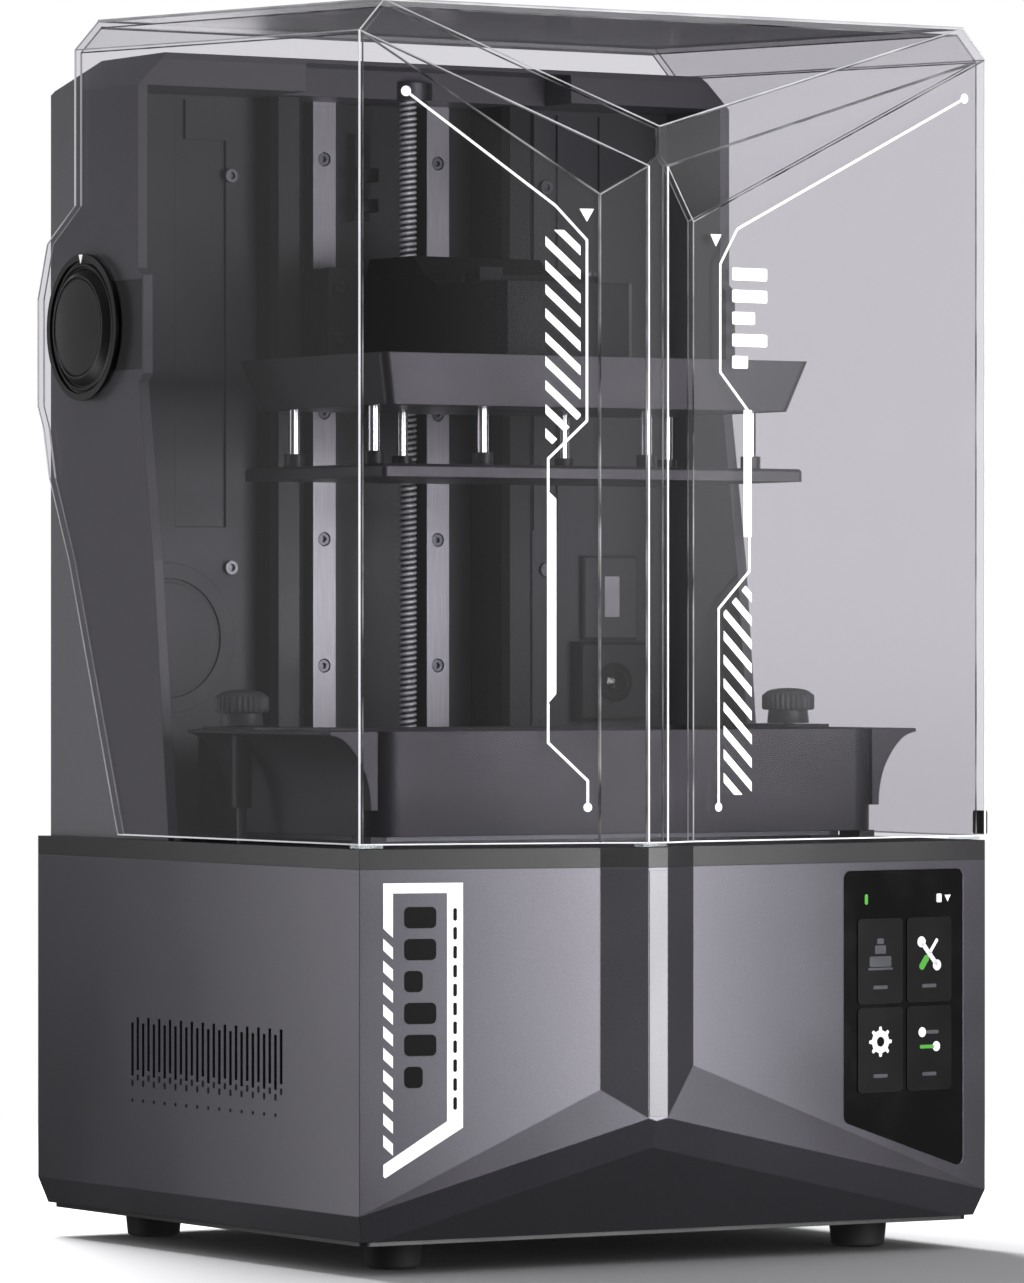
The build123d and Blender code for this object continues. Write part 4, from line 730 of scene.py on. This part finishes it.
# hinge discs: a stepped, shallow-coned satin disc each side, with a tick mark; (radius, how far out)
ringLow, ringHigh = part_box("hinge_rings")
hingeY, hingeZ = (ringLow[1] + ringHigh[1]) / 2, (ringLow[2] + ringHigh[2]) / 2
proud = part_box("hinge_discs")[1][0] / mm - baseHigh[0]
discLine = [
    (0, 0.0), (28.8, 0.0), (28.8, 0.8), (28.2, 1.2), (27.4, 1.2), (27.0, 0.4), (26.4, 0.4),
    (23.8, proud - 1.9), (23.2, proud - 1.5), (22.5, proud - 1.5), (22.2, proud - 2.1),
    (21.8, proud - 2.1), (21.5, proud - 1.7), (0, proud),
]
parts = []
for side in (-1, 1):
    profile = np.array(discLine) * mm
    profile[:, 1] = side * (baseHigh[0] * mm + profile[:, 1])
    parts.append(turned(profile, 120, (0, hingeY, hingeZ), "x"))
points, faces = joinParts(parts)
discs = makePiece("hinge_disc_faces", points, faces, finish["disc"], "lid", 25, merge=True)
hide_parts("hinge_discs")

discTick = {"half": 1.7, "foot": 28.6, "top": 32.6, "thick": 0.3, "lift": 1.6}
parts = []
for panel in (leftFlank, rightFlank):
    run = abs(hingeY - panel["origin"][1]) / mm
    top, foot = hingeZ / mm + discTick["top"], hingeZ / mm + discTick["foot"]
    arrow = [(run - discTick["half"], top), (run + discTick["half"], top), (run, foot)]
    parts.append(plateOn(panel, arrow, discTick["thick"], discTick["lift"]))
points, faces = joinParts(parts)
makePiece("hinge_ticks", points, faces, white, "lid")

# camera: stacked lens rings and a bulging front element; (radius, how far back)
cameraLow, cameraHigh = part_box("camera_lens")
ringLine = [
    (0, 1.6), (9.0, 1.6), (9.0, 0.6), (8.2, 0.1), (7.4, 0.1), (7.0, 0.9), (6.4, 0.9), (6.0, 0.3),
    (5.2, 0.3), (4.8, 1.4), (3.6, 1.0), (2.4, 0.55), (1.2, 0.35), (0, 0.3),
]
middle = ((cameraLow[0] + cameraHigh[0]) / 2, cameraLow[1], (cameraLow[2] + cameraHigh[2]) / 2)
points, faces = turned(np.array(ringLine) * mm, 96, middle, "y")
lensRings = makePiece("camera_lens_rings", points, faces, finish["screen"], "housing", 30,
                      merge=True)
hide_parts("camera_lens")

# light window: a lit plate in its frame, a little off the middle
lampPlate = {"left": -3.6, "right": 4.4, "foot": 10.5, "head": 9.5, "corner": 0.5, "thick": 0.3, "sunk": 0.05}
windowLow, windowHigh = (np.array(c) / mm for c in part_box("light_window"))
windowPanel = panelFrame((0.0, windowLow[1]), (1.0, windowLow[1]))
middleX = (windowLow[0] + windowHigh[0]) / 2
lampShape = roundedOutline(middleX + lampPlate["left"], windowLow[2] + lampPlate["foot"],
                           middleX + lampPlate["right"], windowHigh[2] - lampPlate["head"],
                           lampPlate["corner"])
layPlates("camera_lamp", windowPanel, [lampShape], lampPlate["thick"], -lampPlate["sunk"],
          litPlastic("lampDiffuser", "#a9a8ac", "#b8b7bb", 0.1, 0.4), "housing")

# the lid's catch: a small black block on its right front foot
catch = {"from": 0.2, "to": 9.0, "foot": 0.6, "top": 11.0, "corner": 1.0, "thick": 1.8, "sunk": 0.3}
lidFoot = lidLow[2] / mm
catchShape = roundedOutline(catch["from"], lidFoot + catch["foot"], catch["to"], lidFoot + catch["top"],
                            catch["corner"])
layPlates("lid_catch", rightFlank, [catchShape], catch["thick"], -catch["sunk"], finish["black"],
          "lid")
print("detail pieces made")

# the studio: white behind, dim to gloss so that the cards draw the highlights, soft to matt faces
studio = {"seen": 1.02, "matt": 0.36, "gloss": 0.09, "tone": "#fdfdfe"}

# floor: a paper sweep whose tone runs out to the studio's white from sweepFrom to sweepTo metres out
ground = {"half": 9.0, "below": 0.0005, "sweepFrom": 0.45, "sweepTo": 0.95, "paper": "#f6f6f8", "rough": 0.9}
corners = boxOutline(-ground["half"], -ground["half"], ground["half"], ground["half"])
floorMesh = bpy.data.meshes.new("floor")
floorMesh.from_pydata([(x, y, -ground["below"]) for x, y in corners], [], [(0, 1, 2, 3)])
floor = bpy.data.objects.new("floor", floorMesh)
bpy.context.scene.collection.objects.link(floor)
floorMat, floorTree, floorShader, floorPlace, floorOut = newMaterial(
    "paleFloor", {"Base Color": toLinear(ground["paper"]), "Roughness": ground["rough"]})
away = addNode(floorTree, "ShaderNodeVectorMath", links={0: floorPlace}, operation="LENGTH")
share = addNode(floorTree, "ShaderNodeMapRange",
                {"From Min": ground["sweepFrom"], "From Max": ground["sweepTo"]},
                {"Value": away.outputs["Value"]}, interpolation_type="SMOOTHSTEP")
plain = addNode(floorTree, "ShaderNodeEmission",
                {"Color": toLinear(studio["tone"]), "Strength": studio["seen"]})
sweep = addNode(floorTree, "ShaderNodeMixShader",
                links={0: share.outputs[0], 1: floorShader.outputs[0], 2: plain.outputs[0]})
floorTree.links.new(sweep.outputs[0], floorOut.inputs["Surface"])
floorMesh.materials.append(floorMat)
floor.visible_diffuse = False
floor.visible_glossy = False

world = bpy.data.worlds.new("studio")
world.use_nodes = True
worldTree = world.node_tree
sky = worldTree.nodes["Background"]
sky.inputs[0].default_value = toLinear(studio["tone"])
ray = addNode(worldTree, "ShaderNodeLightPath")
glossPart = addNode(worldTree, "ShaderNodeMath", {1: studio["gloss"] - studio["matt"], 2: studio["matt"]},
                    {0: ray.outputs["Is Glossy Ray"]}, operation="MULTIPLY_ADD")
seenPart = addNode(worldTree, "ShaderNodeMath", {1: studio["seen"]},
                   {0: ray.outputs["Is Camera Ray"]}, operation="MULTIPLY")
level = addNode(worldTree, "ShaderNodeMath", links={0: glossPart.outputs[0], 1: seenPart.outputs[0]},
                operation="MAXIMUM")
worldTree.links.new(level.outputs[0], sky.inputs[1])
bpy.context.scene.world = world

lamps = {
    "ridgeCard": {"at": (0.17, -0.58, 0.2), "aim": (-0.03, -0.15, 0.16), "size": (0.4, 0.55), "watts": 5.5},
    "paneCard": {"at": (0.75, -0.72, 0.5), "aim": (0.08, -0.14, 0.4), "size": (0.8, 0.55), "watts": 2.4},
    "leftPaneCard": {"at": (0.14, -1.0, 0.42), "aim": (-0.08, -0.14, 0.38), "size": (0.3, 0.7), "watts": 0.5},
    "facetCard": {"at": (-0.4, -1.0, 0.42), "aim": (-0.04, -0.15, 0.38), "size": (0.24, 0.7), "watts": 0.45},
    "flankCard": {"at": (-0.46, 0.2, 0.2), "aim": (-0.16, -0.1, 0.16), "size": (0.24, 0.6), "watts": 0.75},
    "flankFill": {"at": (-0.75, 0.95, 0.5), "aim": (-0.16, 0.05, 0.4), "size": (1.0, 0.9), "watts": 0.5},
    "screwCard": {"at": (-0.5, -1.1, 0.5), "aim": (0.0, 0.1, 0.4), "size": (0.5, 0.6), "watts": 9.0},
    "rightFill": {"at": (1.7, 0.7, 0.5), "aim": (0.1, 0.0, 0.3), "size": (1.2, 1.0), "watts": 4.5},
    "backFill": {"at": (0.2, 1.9, 0.6), "aim": (0.0, 0.1, 0.3), "size": (1.4, 1.1), "watts": 8.0},
    "topSoftbox": {"at": (-0.3, -0.5, 2.2), "aim": (0.0, 0.0, 0.3), "size": (1.6, 1.6), "watts": 16.0},
    "floorSoftbox": {"at": (0.15, 1.5, 1.5), "aim": (0.0, 0.0, 0.0), "size": (1.1, 1.1), "watts": 92.0},
}


def lightGroup(name, objects, state):
    # the objects that a lamp is kept to, or kept from
    group = bpy.data.collections.new(name)
    for thing in objects:
        group.objects.link(thing)
    for member in group.collection_objects:
        member.light_linking.link_state = state
    return group


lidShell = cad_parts["lid_shell"]
lidOnly = lightGroup("lidOnly", [lidShell], "INCLUDE")
screwOnly = lightGroup("screwOnly", [screw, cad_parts["guide_pins"]], "INCLUDE")
floorOnly = lightGroup("floorOnly", [floor], "INCLUDE")
notLid = lightGroup("notLid", [lidShell, floor], "EXCLUDE")
notFloor = lightGroup("notFloor", [floor], "EXCLUDE")
reachOf = {
    "paneCard": lidOnly, "leftPaneCard": lidOnly, "facetCard": lidOnly,
    "screwCard": screwOnly, "floorSoftbox": floorOnly,
    "ridgeCard": notLid, "topSoftbox": notLid, "flankCard": notLid,
    "flankFill": notFloor, "rightFill": notFloor, "backFill": notFloor,
}
for name, lamp in lamps.items():
    data = bpy.data.lights.new(name, "AREA")
    data.shape = "RECTANGLE"
    data.size, data.size_y = lamp["size"]
    data.energy = lamp["watts"]
    light = bpy.data.objects.new(name, data)
    light.location = lamp["at"]
    light.rotation_euler = (Vector(lamp["aim"]) - light.location).to_track_quat("-Z", "Y").to_euler()
    light.visible_camera = False
    light.light_linking.receiver_collection = reachOf[name]
    bpy.context.scene.collection.objects.link(light)

# camera: a long lens, level, shifted up a little
viewpoint = {"place": (-1.7815, -2.9191, 0.2646), "look": (0.5195, 0.8545, 0.0), "focal": 214.8, "sensor": 36,
             "shiftUp": 0.0066}
cameraData = bpy.data.cameras.new("camera")
cameraData.sensor_width = viewpoint["sensor"]
cameraData.lens = viewpoint["focal"]
cameraData.shift_y = viewpoint["shiftUp"]
camera = bpy.data.objects.new("camera", cameraData)
camera.location = viewpoint["place"]
camera.rotation_euler = Vector(viewpoint["look"]).to_track_quat("-Z", "Y").to_euler()
bpy.context.scene.collection.objects.link(camera)
bpy.context.scene.camera = camera
bpy.context.scene.view_settings.view_transform = "Standard"

print("stage ready")
